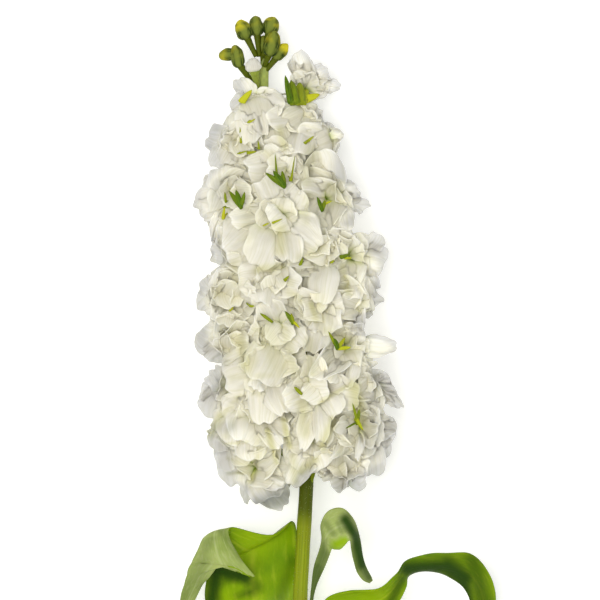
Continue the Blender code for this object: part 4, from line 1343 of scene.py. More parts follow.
class Clay:
    """One piece in the making, in the plant's measure, with the marks that its finish reads."""

    def __init__(self) -> None:
        """Starts an empty piece."""
        self.shape = bmesh.new()
        names = ("across", "along", "shade", "deep", "grey_shade")
        for name in names:
            self.shape.verts.layers.float.new(name)
        layers = self.shape.verts.layers.float
        self.across, self.along, self.shade, self.deep, self.grey_shade = (layers[name] for name in names)

    def sheet(self, columns: int, rows: int, place: Place, shade: float = 0.0) -> list:
        """Adds a sheet, bent into its form.

        Args:
            columns: The faces across it.
            rows: The faces along it.
            place: Where a point goes, from -1 to 1 across and from 0 to 1 along.
            shade: The mark that tells this sheet from the others.

        Returns:
            The sheet's vertices.
        """
        made = bmesh.ops.create_grid(self.shape, x_segments=columns, y_segments=rows, size=1.0)
        for vertex in made["verts"]:
            u, v = vertex.co.x, (vertex.co.y + 1) / 2
            vertex.co = place(u, v)
            vertex[self.across], vertex[self.along], vertex[self.shade] = u, v, shade
        return made["verts"]

    def rolled(
        self, sides: int, rows: int, place: Place, ribs: int = 4, shade: float = 0.0
    ) -> list:
        """Adds a sheet that is rolled into a closed tube.

        Args:
            sides: The faces round it.
            rows: The faces along it.
            place: Where a point goes, from -1 to 1 round it and from 0 to 1 along.
            ribs: How often the mark across it rises and falls round the tube.
            shade: The mark that tells this tube from the others.

        Returns:
            The tube's vertices, its seam merged.
        """
        verts = self.sheet(sides, rows, place, shade)
        for vertex in verts:
            vertex[self.across] = 0.5 + 0.5 * math.cos(vertex[self.across] * math.pi * ribs)
        bmesh.ops.remove_doubles(self.shape, verts=verts, dist=0.0005)
        kept = [vertex for vertex in verts if vertex.is_valid]
        rims = {edge for vertex in kept for edge in vertex.link_edges if edge.is_boundary}
        bmesh.ops.holes_fill(self.shape, edges=list(rims), sides=sides)
        return kept

    def piece(
        self,
        name: str,
        slot: Slot,
        nodes: tuple[str, ...],
        materials: tuple[Material, ...],
        wall: float = 0.0,
        up_at: float | None = None,
    ) -> Thing:
        """Turns the clay into a finished piece of the plant.

        Args:
            name: The piece's name.
            slot: Not used.
            nodes: The CAD nodes that it stands for.
            materials: Its material, and that of its other side if that differs.
            wall: The thickness that its sheets get, in millimetres.
            up_at: Where along the sheet its first side faces up, if that matters.

        Returns:
            The new object.
        """
        bmesh.ops.recalc_face_normals(self.shape, faces=self.shape.faces)
        if up_at is not None:
            near = [f for f in self.shape.faces if abs(f.verts[0][self.along] - up_at) < 0.06]
            if sum(face.normal.z for face in near) < 0:
                bmesh.ops.reverse_faces(self.shape, faces=self.shape.faces)
        to_frame = Matrix.Scale(MM, 4) @ Matrix.Translation(PLANT_ZERO)
        bmesh.ops.transform(self.shape, matrix=to_frame, verts=self.shape.verts)
        mesh = bpy.data.meshes.new(name)
        self.shape.to_mesh(mesh)
        self.shape.free()
        mesh.shade_smooth()
        for material in materials:
            mesh.materials.append(material)
        thing = bpy.data.objects.new(name, mesh)
        bpy.context.scene.collection.objects.link(thing)
        if wall:
            shell = thing.modifiers.new("wall", "SOLIDIFY")
            shell.thickness = wall * MM
            shell.offset = 0.0
            shell.material_offset = len(materials) - 1
        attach(thing, "root")
        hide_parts(*nodes)
        log.info("%s: %d faces, stands for %s", name, len(mesh.polygons), ", ".join(nodes))
        return thing


def tube_place(
    route: Sequence[Vector], radii: Sequence[float], ripple: float = 0.0, ribs: int = 5, flat: float = 1.0
) -> Place:
    """Works out how a sheet rolls round a line.

    Args:
        route: The tube's middle line.
        radii: Its radius at each of those points.
        ripple: How far its ribs stand out, as a share of the radius.
        ribs: How many ribs it has.
        flat: How high it is as a share of its width.

    Returns:
        Where a point of the sheet goes.
    """
    rings = []
    side_way = (route[-1] - route[0]).cross(Vector((0, 0, 1)))
    if side_way.length < 0.3 * (route[-1] - route[0]).length:
        side_way = Vector((1, 0, 0))
    for index, point in enumerate(route):
        ahead = route[min(index + 1, len(route) - 1)] - route[max(index - 1, 0)]
        ahead.normalize()
        side_way = (side_way - ahead * side_way.dot(ahead)).normalized()
        rings.append((point, side_way.copy(), ahead.cross(side_way), radii[index]))

    def place(u: float, v: float) -> Vector:
        """Finds a point of the tube.

        Args:
            u: The place round it, in half turns from -1 to 1.
            v: The place along it, from 0 to 1.

        Returns:
            The point.
        """
        centre, aside, above, radius = rings[round(v * (len(rings) - 1))]
        turn = math.pi * u
        reach = radius * (1 + ripple * math.cos(ribs * turn))
        return centre + (aside * math.cos(turn) + above * math.sin(turn) * flat) * reach

    return place


class Flower:
    """Where one bloom is and which way it faces, worked out from its row in the lists."""

    def __init__(self, number: int, bloom: Bloom) -> None:
        """Works out the bloom's own line.

        Args:
            number: The bloom's number in the CAD.
            bloom: Its row.
        """
        self.number = number
        self.bloom = bloom
        middle = stem_middle(bloom.along)
        distance = read_off(THROAT_DISTANCE, bloom.along)
        if bloom.turn is None:
            aside = bloom.across - middle.x
            rise = math.sqrt(max(distance**2 - aside**2, (LEAST_RISE * distance) ** 2))
            outward = Vector((aside, 0.0, rise))
        else:
            angle = math.radians(bloom.turn)
            outward = Vector((math.cos(angle), 0.0, math.sin(angle))) * distance
        self.throat = middle + outward
        self.facing = (outward.normalized() + Vector((0.0, bloom.nod, 0.0))).normalized()
        self.heart = self.throat + self.facing * HEART_HEIGHT
        self.site = self.throat + self.facing * (SITE_SHARE * bloom.reach)
        self.side = self.facing.cross(NEARLY_ALONG).normalized()
        self.over = self.facing.cross(self.side)
        joint = max(bloom.along - STALK_DROP, FIRST_JOINT)
        self.joint = stem_middle(min(joint, LAST_JOINT))
        self.cup_end = self.throat - self.facing * SEAT_GAP
        self.cup_start = self.cup_end - self.facing * CUP_LENGTH
        self.walls: list[tuple[Vector, float]] = []

    @property
    def is_upper(self) -> bool:
        """Whether the bloom is on the side that faces up."""
        return self.bloom.turn is None

    def spot(self, turn: float, out: float, up: float) -> Vector:
        """Finds a point: its angle round the bloom's line, how far out and how far up."""
        spread = self.side * math.cos(turn) + self.over * math.sin(turn)
        return self.throat + spread * out + self.facing * up

    def add_wall(self, normal: Vector, room_at: Vector, gap: float) -> None:
        """Adds a flat wall through a point, which this bloom stays short of by a gap."""
        self.walls.append((normal, (room_at - self.heart).dot(normal) - gap))

    def used(self, point: Vector) -> float:
        """Measures how much of the room towards a point is used, which is 1 at the wall."""
        ray = point - self.heart
        return max([0.0] + [ray.dot(normal) / room for normal, room in self.walls])

    def hold(self, point: Vector, layer: int = 0) -> Vector:
        """Draws a point back inside the bloom's cell.

        Args:
            point: The point.
            layer: How many petals lie between it and the floor.

        Returns:
            The point, laid on the floor if it was below it and drawn back inside the walls.
        """
        point = point.copy()
        point.z = max(point.z, LEAST_Z + layer * LAYER_STEP)
        used = self.used(point)
        if used <= FREE_SHARE:
            return point
        left = 1.0 - FREE_SHARE
        held = FREE_SHARE + left * (1.0 - math.exp((FREE_SHARE - used) / left))
        return self.heart + (point - self.heart) * (held / used)


def set_walls(flowers: list[Flower]) -> None:
    """Gives each bloom walls against its neighbours, their stalks and the stem.

    Args:
        flowers: All the blooms.
    """
    for flower in flowers:
        for other in flowers:
            if other is flower:
                continue
            between = other.site - flower.site
            apart = between.length
            if apart > NEIGHBOUR_RANGE:
                continue
            normal = between / apart
            share = (apart**2 + flower.bloom.reach**2 - other.bloom.reach**2) / (2 * apart)
            flower.add_wall(normal, flower.site + normal * share, WALL_GAP)
            for start, end, radius in (
                (other.joint, other.cup_start, STALK_RADIUS),
                (other.cup_start, other.cup_end, CUP_RADIUS),
            ):
                near = nearest_on_line(start, end, flower.heart)
                away = near - flower.heart
                if away.length < STALK_RANGE:
                    flower.add_wall(away.normalized(), near, radius + WALL_GAP)
        nearby = [flower.bloom.along + step for step in range(-STEM_RANGE, STEM_RANGE + 1)]
        near = min(map(stem_middle, nearby), key=lambda point: (point - flower.heart).length)
        radius = read_off(STEM_RADII, near.y)
        flower.add_wall((near - flower.heart).normalized(), near, radius + WALL_GAP)


@dataclass(frozen=True)
class Ruffle:
    """How a petal's surface is worked: its rim's waves, its fan folds and its creases."""

    rim: float = 1.0
    fold: float = 0.5
    waves: tuple[float, float, float] = (2.6, 5.3, 9.2)
    phases: tuple[float, float, float] = (0.0, 1.0, 2.0)
    folds: float = 5.0

    def at_rim(self, rim: float, angle: float) -> float:
        """Works out how far the rim's waves lift the petal.

        Args:
            rim: How near the rim the place is.
            angle: The angle round the middle of the limb.

        Returns:
            The lift.
        """
        waves = sum(
            math.sin(count * angle + phase) / (1 + 0.7 * order)
            for order, (count, phase) in enumerate(zip(self.waves, self.phases))
        )
        return self.rim * rim**3 * waves


@dataclass(frozen=True)
class Petal:
    """One petal of a bloom: its place round the throat, its share of the turn and its form."""

    turn: float
    sector: float
    length: float
    half_width: float
    start_angle: float
    opening: float
    cup: float
    wave: float
    phase: float
    lobes: float
    layer: int
    curl: float = 0.0
    lap: float = 0.8
    ruffle: Ruffle = Ruffle()
    shade: float = 0.0

    def profile(self) -> list[tuple[float, float, float]]:
        """Works out the petal's middle line.

        Returns:
            Steps along it: how far out, how far up and the angle there.
        """
        out, up = START_OUT, START_UP
        steps = [(out, up, self.start_angle)]
        for step in range(PROFILE_STEPS):
            share = (step + 0.5) / PROFILE_STEPS
            angle = self.start_angle + (self.opening - self.start_angle) * min(1.0, BENT_BY * share)
            angle += self.curl * ease(*CURLED, share)
            out += math.sin(angle) * self.length / PROFILE_STEPS
            up += math.cos(angle) * self.length / PROFILE_STEPS
            steps.append((out, up, angle))
        return steps

    def plan(self, u: float, v: float) -> tuple[float, float, float, float]:
        """Rounds the square sheet into a claw and a broad limb.

        Args:
            u: The place across the sheet, from -1 to 1.
            v: The place along it, from 0 to 1.

        Returns:
            The share of the half-width, the share of the length, how near the rim is and the
            angle round the middle of the limb.
        """
        if v < LIMB_FROM:
            share = v / LIMB_FROM
            wide = u * (CLAW_SHARE + (1 - CLAW_SHARE) * math.sin(math.pi / 2 * share) ** 1.5)
            return wide, LIMB_AT * share, abs(u) * share, math.atan2(wide, share - 1)
        high = (v - LIMB_FROM) / (1 - LIMB_FROM)
        wide = u * math.sqrt(1 - high * high / 2)
        tall = high * math.sqrt(1 - u * u / 2)
        notch = NOTCH_DEPTH * math.exp(-((wide / NOTCH_WIDE) ** 2)) * high**3
        far = LIMB_AT + (1 - LIMB_AT) * tall - notch
        return wide, far, math.hypot(wide, tall), math.atan2(wide, tall + 1e-6)

    def place(self, flower: Flower) -> Place:
        """Works out where the petal's sheet goes.

        Args:
            flower: The bloom that it grows from.

        Returns:
            Where a point of the sheet goes.
        """
        steps = self.profile()
        ruffle = self.ruffle

        def place(u: float, v: float) -> Vector:
            """Finds a point of the petal.

            Args:
                u: The place across it, from -1 to 1.
                v: The place along it, from 0 to 1.

            Returns:
                The point.
            """
            wide, far, rim, round_limb = self.plan(u, v)
            at = far * PROFILE_STEPS
            index = min(int(at), PROFILE_STEPS - 1)
            t = at - index
            first, second = steps[index], steps[index + 1]
            out, up, angle = (a + (b - a) * t for a, b in zip(first, second))
            lift = self.cup * self.half_width * wide * wide * far
            lift += self.wave * math.sin(self.lobes * wide * math.pi + self.phase) * far**1.5
            lift += self.lap * wide * far
            lift += RIM_LIFT * ruffle.at_rim(rim, round_limb)
            fan = wide / (far + FAN_FROM)
            lift += ruffle.fold * math.cos(ruffle.folds * fan + self.phase) * ease(*FOLDED, far)
            swing = self.sector * math.tanh(self.half_width * wide / out / self.sector)
            out = max(LEAST_OUT, out - lift * math.cos(angle))
            up += lift * math.sin(angle)
            least = LEAST_UP - BELOW_NECK * max(0.0, out - NECK_OUT)
            point = flower.spot(self.turn + swing, out, max(up, least))
            own = Vector((0, 0, self.shade * 50))
            point += noise.noise_vector(point * SOFT_GRAIN + own) * SOFT_LIFT * far
            point = flower.hold(point, self.layer)
            return within_outline(kept_under(point))

        return place


@dataclass(frozen=True)
class DrawnPetal:
    """A petal that the picture shows, from its bloom's throat to its own tip."""

    flower: Flower
    drawn: Drawn
    form: Petal
    fills: bool = False

    def place(self) -> Place:
        """Works out where the petal's sheet goes.

        Returns:
            Where a point of the sheet goes.
        """
        flower, drawn, ruffle = self.flower, self.drawn, self.form.ruffle
        root = flower.throat + flower.facing * START_UP
        tip = from_picture(drawn.tip, drawn.rise)
        ahead = tip - root
        climb = flower.facing * max(LEAST_CLIMB, ahead.dot(flower.facing) * KNEE_SHARE)
        knee = root + climb + (ahead - flower.facing * ahead.dot(flower.facing)) * KNEE_AHEAD
        flat = Vector((ahead.x, ahead.y, 0.0)).normalized()
        knee -= flat * drawn.sway
        aside = flat.cross(Vector((0.0, 0.0, 1.0)))
        half_width = drawn.half_width / PIXELS_PER_MM * DRAWN_WIDER
        count = ruffle.folds * max(1.0, half_width / USUAL_HALF)
        roll = math.radians(drawn.roll)

        def place(u: float, v: float) -> Vector:
            """Finds a point of the petal.

            Args:
                u: The place across it, from -1 to 1.
                v: The place along it, from 0 to 1.

            Returns:
                The point.
            """
            wide, far, rim, round_limb = self.form.plan(u, v)
            wide *= 1 - drawn.point * ease(*DRAWN_END, far) * 0.7
            middle = root * (1 - far) ** 2 + knee * (2 * far * (1 - far)) + tip * far**2
            line = ((knee - root) * (1 - far) + (tip - knee) * far).normalized()
            side = (aside - line * aside.dot(line)).normalized()
            normal = side.cross(line)
            turn = roll * ease(0.15, 0.8, far)
            side, normal = (
                side * math.cos(turn) + normal * math.sin(turn),
                normal * math.cos(turn) - side * math.sin(turn),
            )
            lift = drawn.cup * half_width * 2 * wide * wide * ease(0.1, 0.8, far)
            lift += drawn.curl * ease(*DRAWN_END, far)
            lift += DRAWN_RIM_LIFT * drawn.ruffle * ruffle.at_rim(rim, round_limb)
            fan = wide / (far + FAN_FROM)
            folds = math.cos(count * fan + self.form.phase)
            folds += FINE_FOLD * math.cos(FINE_FOLDS * count * fan + 2 * self.form.phase)
            lift += DRAWN_FOLD_LIFT * ruffle.fold * folds * ease(*FOLDED, far)
            cut = 1 + DRAWN_CUT * drawn.ruffle * rim**4 * math.sin(CUTS * round_limb + self.form.phase)
            point = middle + side * (half_width * wide * cut) + normal * lift
            own = Vector((0, 0, self.form.shade * 50))
            point += noise.noise_vector(point * DRAWN_SOFT_GRAIN + own) * DRAWN_SOFT_LIFT * far
            point.z = min(point.z, HEAD_TOP)
            return within_outline(point) if self.fills else point

        return place


@dataclass
class BloomPiece:
    """One bloom: thin petals in rings, and over them the petals that the picture shows."""

    flower: Flower
    columns: int = 14
    rows: int = 16

    def fitting_opening(self, petal: Petal) -> float:
        """Finds the widest opening at which a petal's end fits inside the cell.

        Args:
            petal: The petal, with the opening that it would like.

        Returns:
            The opening that it gets.
        """
        best, best_used = petal.opening, math.inf
        angle = petal.opening
        while angle > NARROWEST:
            steps = replace(petal, opening=angle, curl=0.0).profile()
            used = 0.0
            for turn, far in END_PROBES:
                out, up, _ = steps[round(far * PROFILE_STEPS)]
                point = self.flower.spot(petal.turn + turn, out, up)
                point.z = max(point.z, LEAST_Z)
                used = max(used, self.flower.used(point))
            if used < MOST_USED:
                return angle
            if used < best_used:
                best, best_used = angle, used
            angle -= OPENING_STEP
        return best

    def ruffled(self, draw: random.Random, rim: float) -> Ruffle:
        """Draws how one petal is ruffled.

        Args:
            draw: The source of chance.
            rim: How high the waves of its rim are.

        Returns:
            The petal's ruffle.
        """
        return Ruffle(
            rim=rim * draw.uniform(0.7, 1.3),
            fold=draw.uniform(0.35, 1.0),
            waves=(draw.uniform(2.0, 3.2), draw.uniform(4.6, 6.2), draw.uniform(8.5, 11.0)),
            phases=tuple(draw.uniform(0, 2 * math.pi) for _ in range(3)),
            folds=draw.uniform(3.0, 5.5),
        )

    def petals(self) -> list[Petal]:
        """Works out the bloom's petals.

        Returns:
            The petals, the outer ring first.
        """
        bloom = self.flower.bloom
        base = random.Random(SEED * 1000 + self.flower.number)
        more = random.Random(SEED * 2000 + self.flower.number)
        first = base.uniform(0, math.pi / 2)
        rings = RINGS[:1] if self.flower.is_upper else RINGS
        made: list[Petal] = []
        steepest = STEEPEST
        for ring, count, shift, longer, wider, start, sector, opened in rings:
            for slot in range(count):
                draw = base if ring is Ring.OUTER else more
                petal = Petal(
                    turn=first + 2 * math.pi * (slot + shift) / count,
                    sector=min(math.pi / count, WIDEST_SECTOR) * sector,
                    length=bloom.reach * draw.uniform(0.92, 1.08) * longer,
                    half_width=bloom.reach * draw.uniform(0.68, 0.8) * wider,
                    start_angle=math.radians(start),
                    opening=math.radians(bloom.opening + draw.uniform(-8, 8)),
                    cup=draw.uniform(-0.25, 0.3) * longer,
                    wave=draw.uniform(0.7, 1.5) * longer,
                    phase=draw.uniform(0, 2 * math.pi),
                    lobes=draw.uniform(0.8, 1.4),
                    layer=ring.value,
                    curl=math.radians(more.uniform(-10, 40)),
                    ruffle=self.ruffled(more, 1.3 if ring is Ring.OUTER else 1.1),
                    shade=more.random(),
                )
                if ring is Ring.OUTER:
                    petal = replace(petal, opening=self.fitting_opening(petal))
                    steepest = min(steepest, petal.opening)
                else:
                    petal = replace(petal, opening=max(steepest * opened, LEAST_OPENING))
                made.append(petal)
        return made

    def filling(self) -> list[Drawn]:
        """Works out the petals that fill an upper bloom out under those that the picture shows.

        Returns:
            Two loose rings of broad petals, and small crumpled ones round a closed throat.
        """
        bloom = self.flower.bloom
        draw = random.Random(SEED * 4000 + self.flower.number)
        column, row = to_picture(bloom.across, bloom.along)
        first = draw.uniform(0, 2 * math.pi)
        made = []

        def tip(angle: float, far: float) -> tuple[float, float]:
            """Gives the pixel at an angle and a distance from the bloom's middle."""
            return column + far * math.cos(angle), row + far * math.sin(angle)

        for ring, (count, reach, half, rise) in enumerate(FILLING_RINGS):
            for slot in range(count):
                angle = first + 2 * math.pi * (slot + 0.5 * ring) / count + draw.uniform(-0.3, 0.3)
                far = reach * draw.uniform(0.85, 1.15) * bloom.reach / USUAL_REACH
                made.append(
                    Drawn(
                        tip(angle, far),
                        half * draw.uniform(0.85, 1.15),
                        rise + draw.uniform(-0.8, 0.8),
                        roll=draw.uniform(-18, 18),
                        cup=draw.uniform(-0.25, 0.25),
                        curl=draw.uniform(-3.0, -1.0),
                        ruffle=0.8,
                    )
                )
        covers = 0 if self.flower.number in OPEN_THROATS + HIDDEN_THROATS else COVERS
        for slot in range(covers):
            angle = first + 2 * math.pi * slot / covers + draw.uniform(-0.5, 0.5)
            made.append(
                Drawn(
                    tip(angle, draw.uniform(7, 13)),
                    draw.uniform(11, 14),
                    draw.uniform(-2.4, -0.6),
                    roll=draw.uniform(-15, 15),
                    cup=draw.uniform(-0.25, 0.1),
                    curl=draw.uniform(-1.5, 0.0),
                    ruffle=0.7,
                    sway=draw.uniform(4.5, 7.0),
                )
            )
        return made

    def paint_shade(self, clay: Clay, verts: list, green: float) -> None:
        """Marks the painted shade on a petal: greener and darker in the hollows, greyer in the folds and
        at the head's outline.

        Args:
            clay: The clay that it is made of.
            verts: Its vertices.
            green: The least painted green shade that it has.
        """
        throat = Vector((*to_picture(self.flower.throat.x, self.flower.throat.y), 0.0))
        near = [
            [stroke for stroke in strokes if self.within_reach(stroke, throat)]
            for strokes in (HOLLOW_SHADE_STROKES, FOLD_SHADE_STROKES)
        ]
        for vertex in verts:
            column, row = to_picture(vertex.co.x, vertex.co.y)
            # Painted shade marks: greener in hollows and under the drawn petals, greyer in folds and at
            # the head's outline.
            deep, grey_shade = (max(stroked(strokes, column, row, 0.5)) for strokes in near)
            edge = EDGE_SHADE * (1 - ease(0.0, EDGE_SHADE_WIDE, from_edge(column, row)))
            vertex[clay.deep] = max(deep, green)
            vertex[clay.grey_shade] = max(grey_shade, edge)

    @staticmethod
    def within_reach(stroke: Stroke, throat: Vector) -> bool:
        """Tells whether a stroke comes near a throat, given as a pixel of the picture."""
        start, end = Vector((*stroke.start, 0.0)), Vector((*stroke.end, 0.0))
        return (nearest_on_line(start, end, throat) - throat).length < STROKE_RANGE

    def build(self, material: Material) -> Thing:
        """Builds the bloom.

        Args:
            material: The petals' material.

        Returns:
            The finished piece.
        """
        clay = Clay()
        flower = self.flower
        petals = self.petals()
        if flower.number != TIP_BLOOM:
            for petal in petals:
                made = clay.sheet(self.columns, self.rows, petal.place(flower), petal.shade)
                self.paint_shade(clay, made, UNDER_SHADE)
        more = random.Random(SEED * 3000 + flower.number)
        shown = [(one, False) for one in DRAWN_PETALS.get(flower.number, ())]
        if flower.is_upper and flower.number != TIP_BLOOM:
            shown += [(one, True) for one in self.filling()]
        for one, fills in shown:
            form = replace(
                petals[0],
                ruffle=self.ruffled(more, 1.0),
                shade=more.random(),
                phase=more.uniform(0, 2 * math.pi),
            )
            finer = COARSER if fills else FINER
            place = DrawnPetal(flower, one, form, fills).place()
            made = clay.sheet(self.columns + finer, self.rows + finer, place, form.shade)
            self.paint_shade(clay, made, UNDER_SHADE if fills else 0.0)
        if flower.number == OPENING_AT:
            verts = clay.rolled(16, 14, bud_place(OPENING_BUD), 4, 0.5)
            for vertex in verts:
                vertex[clay.along] = 1.0
        name = f"bloom_{flower.number:02d}"
        return clay.piece(f"petals_{flower.number:02d}", Slot.PETAL, (name,), (material,), PETAL_WALL)


@dataclass
class Stem:
    """The stem with its cut end, and the stalk and green cup of every bloom."""

    flowers: list[Flower]
    sides: int = 20
    rings: int = 170
    stalk_rings: int = 10
    cup_rings: int = 10
    hairs: int = 1100
    bend: float = 0.7
    bend_at: float = 190.0
    bend_wide: float = 16.0
    slimming: tuple = (40.0, 150.0)
    uneven: float = 0.03
    rib: float = 0.025
    cut_rim: float = 0.75
    cut_rings: float = 3.2
    # The stretch along the stem over which the painted shadow below the head fades in, and how strong it
    # is.
    shaded: tuple = (184.0, 193.0)
    shade: float = 0.85
    knee: float = 0.55
    flare: float = 0.25
    cup_swell: tuple = (-0.1, 0.35)

    def build(self, material: Material) -> list[Thing]:
        """Builds the stem, its hairs and the stalks, all of one material."""
        return [self.main_stem(material), self.down(material), self.stalks(material)]

    def skin(self, along: float) -> tuple[Vector, float]:
        """Finds the main stem's middle and its radius.

        Args:
            along: The distance from its cut end.

        Returns:
            The middle and the radius there.
        """
        middle = stem_middle(along)
        middle.x -= self.bend * math.exp(-(((middle.y - self.bend_at) / self.bend_wide) ** 2))
        radius = read_off(STEM_RADII, along) * (1 - (1 - SKIN_SHARE) * ease(*self.slimming, along))
        return middle, radius * (1 + self.uneven * math.sin(along * 0.31) * math.sin(along * 0.11))

    def down(self, material: Material) -> Thing:
        """Builds the short pale hairs on the bare part of the stem.

        Args:
            material: Their material.

        Returns:
            The finished piece.
        """
        clay = Clay()
        draw = random.Random(SEED * 5000)
        for _ in range(self.hairs):
            middle, radius = self.skin(draw.uniform(*HAIRS_ALONG))
            angle = draw.uniform(0, 2 * math.pi)
            outward = Vector((math.cos(angle), 0.0, math.sin(angle)))
            lean = (outward + Vector((0.0, draw.uniform(-0.2, 0.8), 0.0))).normalized()
            length = draw.uniform(*HAIR_LENGTHS)
            if (middle + outward * radius + lean * length).z < LEAST_Z:
                continue
            seat = Matrix.Translation(middle + outward * radius * 0.96 + lean * length / 2)
            hair = bmesh.ops.create_cone(
                clay.shape,
                cap_ends=True,
                segments=3,
                radius1=HAIR_RADIUS,
                radius2=HAIR_RADIUS / 4,
                depth=length,
                matrix=seat @ lean.to_track_quat("Z", "Y").to_matrix().to_4x4(),
            )
            for vertex in hair["verts"]:
                vertex[clay.shade] = 1.0
        return clay.piece("stem_down", Slot.STEM, ("stem",), (material,))

    def main_stem(self, material: Material) -> Thing:
        """Builds the main stem.

        Args:
            material: Its material.

        Returns:
            The finished piece.
        """
        clay = Clay()
        places = [STEM_ROUTE[-1][1] * ring / (self.rings - 1) for ring in range(self.rings)]
        middles, widths = zip(*(self.skin(place) for place in places))
        route = [middles[0], middles[0], *middles]
        radii = [0.0, widths[0] * self.cut_rim, *widths]
        verts = clay.rolled(self.sides, len(route) - 1, tube_place(route, radii, self.rib), ribs=5)
        for vertex in verts:
            vertex[clay.shade] = 1.0 - ease(0.0, self.cut_rings / len(route), vertex[clay.along])
            # Painted shadow of the head, on the stem just below it.
            vertex[clay.deep] = self.shade * ease(*self.shaded, vertex.co.y)
        return clay.piece("stem_skin", Slot.STEM, ("stem",), (material,))

    def stalks(self, material: Material) -> Thing:
        """Builds every bloom's stalk and cup.

        Args:
            material: Their material.

        Returns:
            The finished piece.
        """
        clay = Clay()
        for flower in self.flowers:
            ahead = (stem_middle(flower.joint.y + 1) - flower.joint).normalized()
            bend = flower.joint.lerp(flower.cup_start, self.knee) + ahead * STALK_BEND
            line = [flower.joint, bend, flower.cup_start]
            shares = [step / self.stalk_rings for step in range(self.stalk_rings + 1)]
            route = [curve_through(line, share) for share in shares]
            widths = [STALK_RADIUS * (1 + self.flare * share**3) for share in shares]
            for step in range(self.cup_rings):
                share = (step + 1) / self.cup_rings
                route.append(flower.cup_start.lerp(flower.cup_end, share))
                swell = ease(*self.cup_swell, share)
                widths.append(STALK_RADIUS + (CUP_RADIUS - STALK_RADIUS) * swell)
            clay.rolled(12, len(route) - 1, tube_place(route, widths, 0.05, 4), ribs=4)
        return clay.piece("stalks_and_cups", Slot.STEM, ("stem",), (material,))


@dataclass
class Greenery:
    """The stalks and sepals that show green between the petals."""

    flowers: list[Flower]
    sides: int = 8
    rows: int = 18
    shallow: tuple = (1, 2)
    sunk: float = 2.0
    climb: float = 1.0
    towards_throat: float = 0.3
    knee: float = 0.55

    def build(self, material: Material) -> Thing:
        """Builds them all.

        Args:
            material: Their material.

        Returns:
            The finished piece.
        """
        clay = Clay()
        for sprig in SPRIGS:
            flower = self.flowers[sprig.bloom - 1]
            sunk = 0.0 if sprig.bloom in self.shallow else self.sunk
            start = from_picture(sprig.start, sprig.rise - self.climb - sunk)
            end = from_picture(sprig.end, sprig.rise - sunk)
            low = start.lerp(flower.throat, self.towards_throat)
            low.z = start.z - SEPAL_DEPTH
            line = [low, low.lerp(start, self.knee), start, end]
            route = [curve_through(line, step / self.rows) for step in range(self.rows + 1)]
            near, far = (thick / PIXELS_PER_MM for thick in sprig.thick)
            radii = []
            for step in range(self.rows + 1):
                share = step / self.rows
                radius = SEPAL_RADIUS + (near - SEPAL_RADIUS) * ease(0.3, 0.6, share)
                radius += (far - near) * ease(0.6, 0.85, share)
                radii.append(radius * math.sqrt(max(0.0, 1 - ease(0.8, 1.0, share))))
            place = tube_place(route, radii, 0.12, 3, 0.45)
            clay.rolled(self.sides, self.rows, place, 3, sprig.yellow)
        return clay.piece("green_sepals", Slot.STEM, ("stem",), (material,))


def bud_place(bud: Bud) -> Place:
    """Works out how a sheet rolls into a bud.

    Args:
        bud: The bud.

    Returns:
        Where a point of the sheet goes.
    """
    centre = bud_spot(bud.middle, bud.rise)
    line = Vector((bud.heading[0], -bud.heading[1], 0.15 * bud.rise)).normalized()
    turn = line.to_track_quat("Z", "Y").to_matrix()

    def place(u: float, v: float) -> Vector:
        """Finds a point of the bud.

        Args:
            u: The place round it, in half turns from -1 to 1.
            v: The place along it, from 0 to 1.

        Returns:
            The point.
        """
        angle = math.pi * u
        full = (1 - abs(2 * v**0.8 - 1) ** 2.4) ** 0.62 if 0 < v < 1 else 0.0
        width = 1.12 * bud.radius * full * (1 - 0.12 * (0.5 + 0.5 * math.cos(4 * angle)) ** 2)
        local = Vector((width * math.cos(angle), width * math.sin(angle), (v - 0.5) * bud.length))
        point = centre + turn @ local
        return point + noise.noise_vector(point * 0.5) * 0.35

    return place


def bud_spot(pixel: tuple[float, float], rise: float) -> Vector:
    """Finds a place among the buds from its pixel and its rise above the tip of the stem."""
    place = from_picture(pixel, 0.0)
    return Vector((place.x, place.y, BUD_BASE.z + rise))


@dataclass
class BudCluster:
    """The closed buds at the tip on their short stalks."""

    sides: int = 24
    rows: int = 20
    steps: int = 6
    thin: float = 0.85
    neck: float = 1.5
    open_neck: float = 2.3

    def build(self, material: Material, green: Material) -> list[Thing]:
        """Builds the cluster.

        Args:
            material: The buds' material.
            green: The stalks' material.

        Returns:
            The finished pieces.
        """
        buds, stalks = Clay(), Clay()
        low, high = bud_spot(CORE_FOOT, 0.0), bud_spot(CORE_TIP, -0.5)
        shares = [step / self.steps for step in range(self.steps + 1)]
        line = [low.lerp(high, share) for share in shares]
        stalks.rolled(14, self.steps, tube_place(line, CORE_RADII), shade=0.3)
        for bud in (*BUDS, OPENING_BUD):
            centre = bud_spot(bud.middle, bud.rise)
            root = bud_spot(bud.foot, bud.rise * 0.3)
            opens = bud is OPENING_BUD
            if not opens:
                buds.rolled(self.sides, self.rows, bud_place(bud), 4, bud.yellow)
            neck = centre - Vector((bud.heading[0], -bud.heading[1], 0)).normalized() * bud.length * 0.3
            route = [curve_through([root, root.lerp(neck, 0.5), neck], share) for share in shares]
            wide = self.open_neck if opens else self.neck
            radii = [self.thin + (wide - self.thin) * share**2 for share in shares]
            place = tube_place(route, radii, 0.06)
            made = stalks.rolled(12, self.steps, place, shade=0.15 if opens else 0.0)
            for vertex in made:
                vertex[stalks.deep] = 0.1 if opens else 0.8
        return [
            buds.piece("closed_buds", Slot.BUD, ("bud_cluster",), (material,)),
            stalks.piece("bud_stalks", Slot.BUD, ("bud_cluster",), (green,)),
        ]


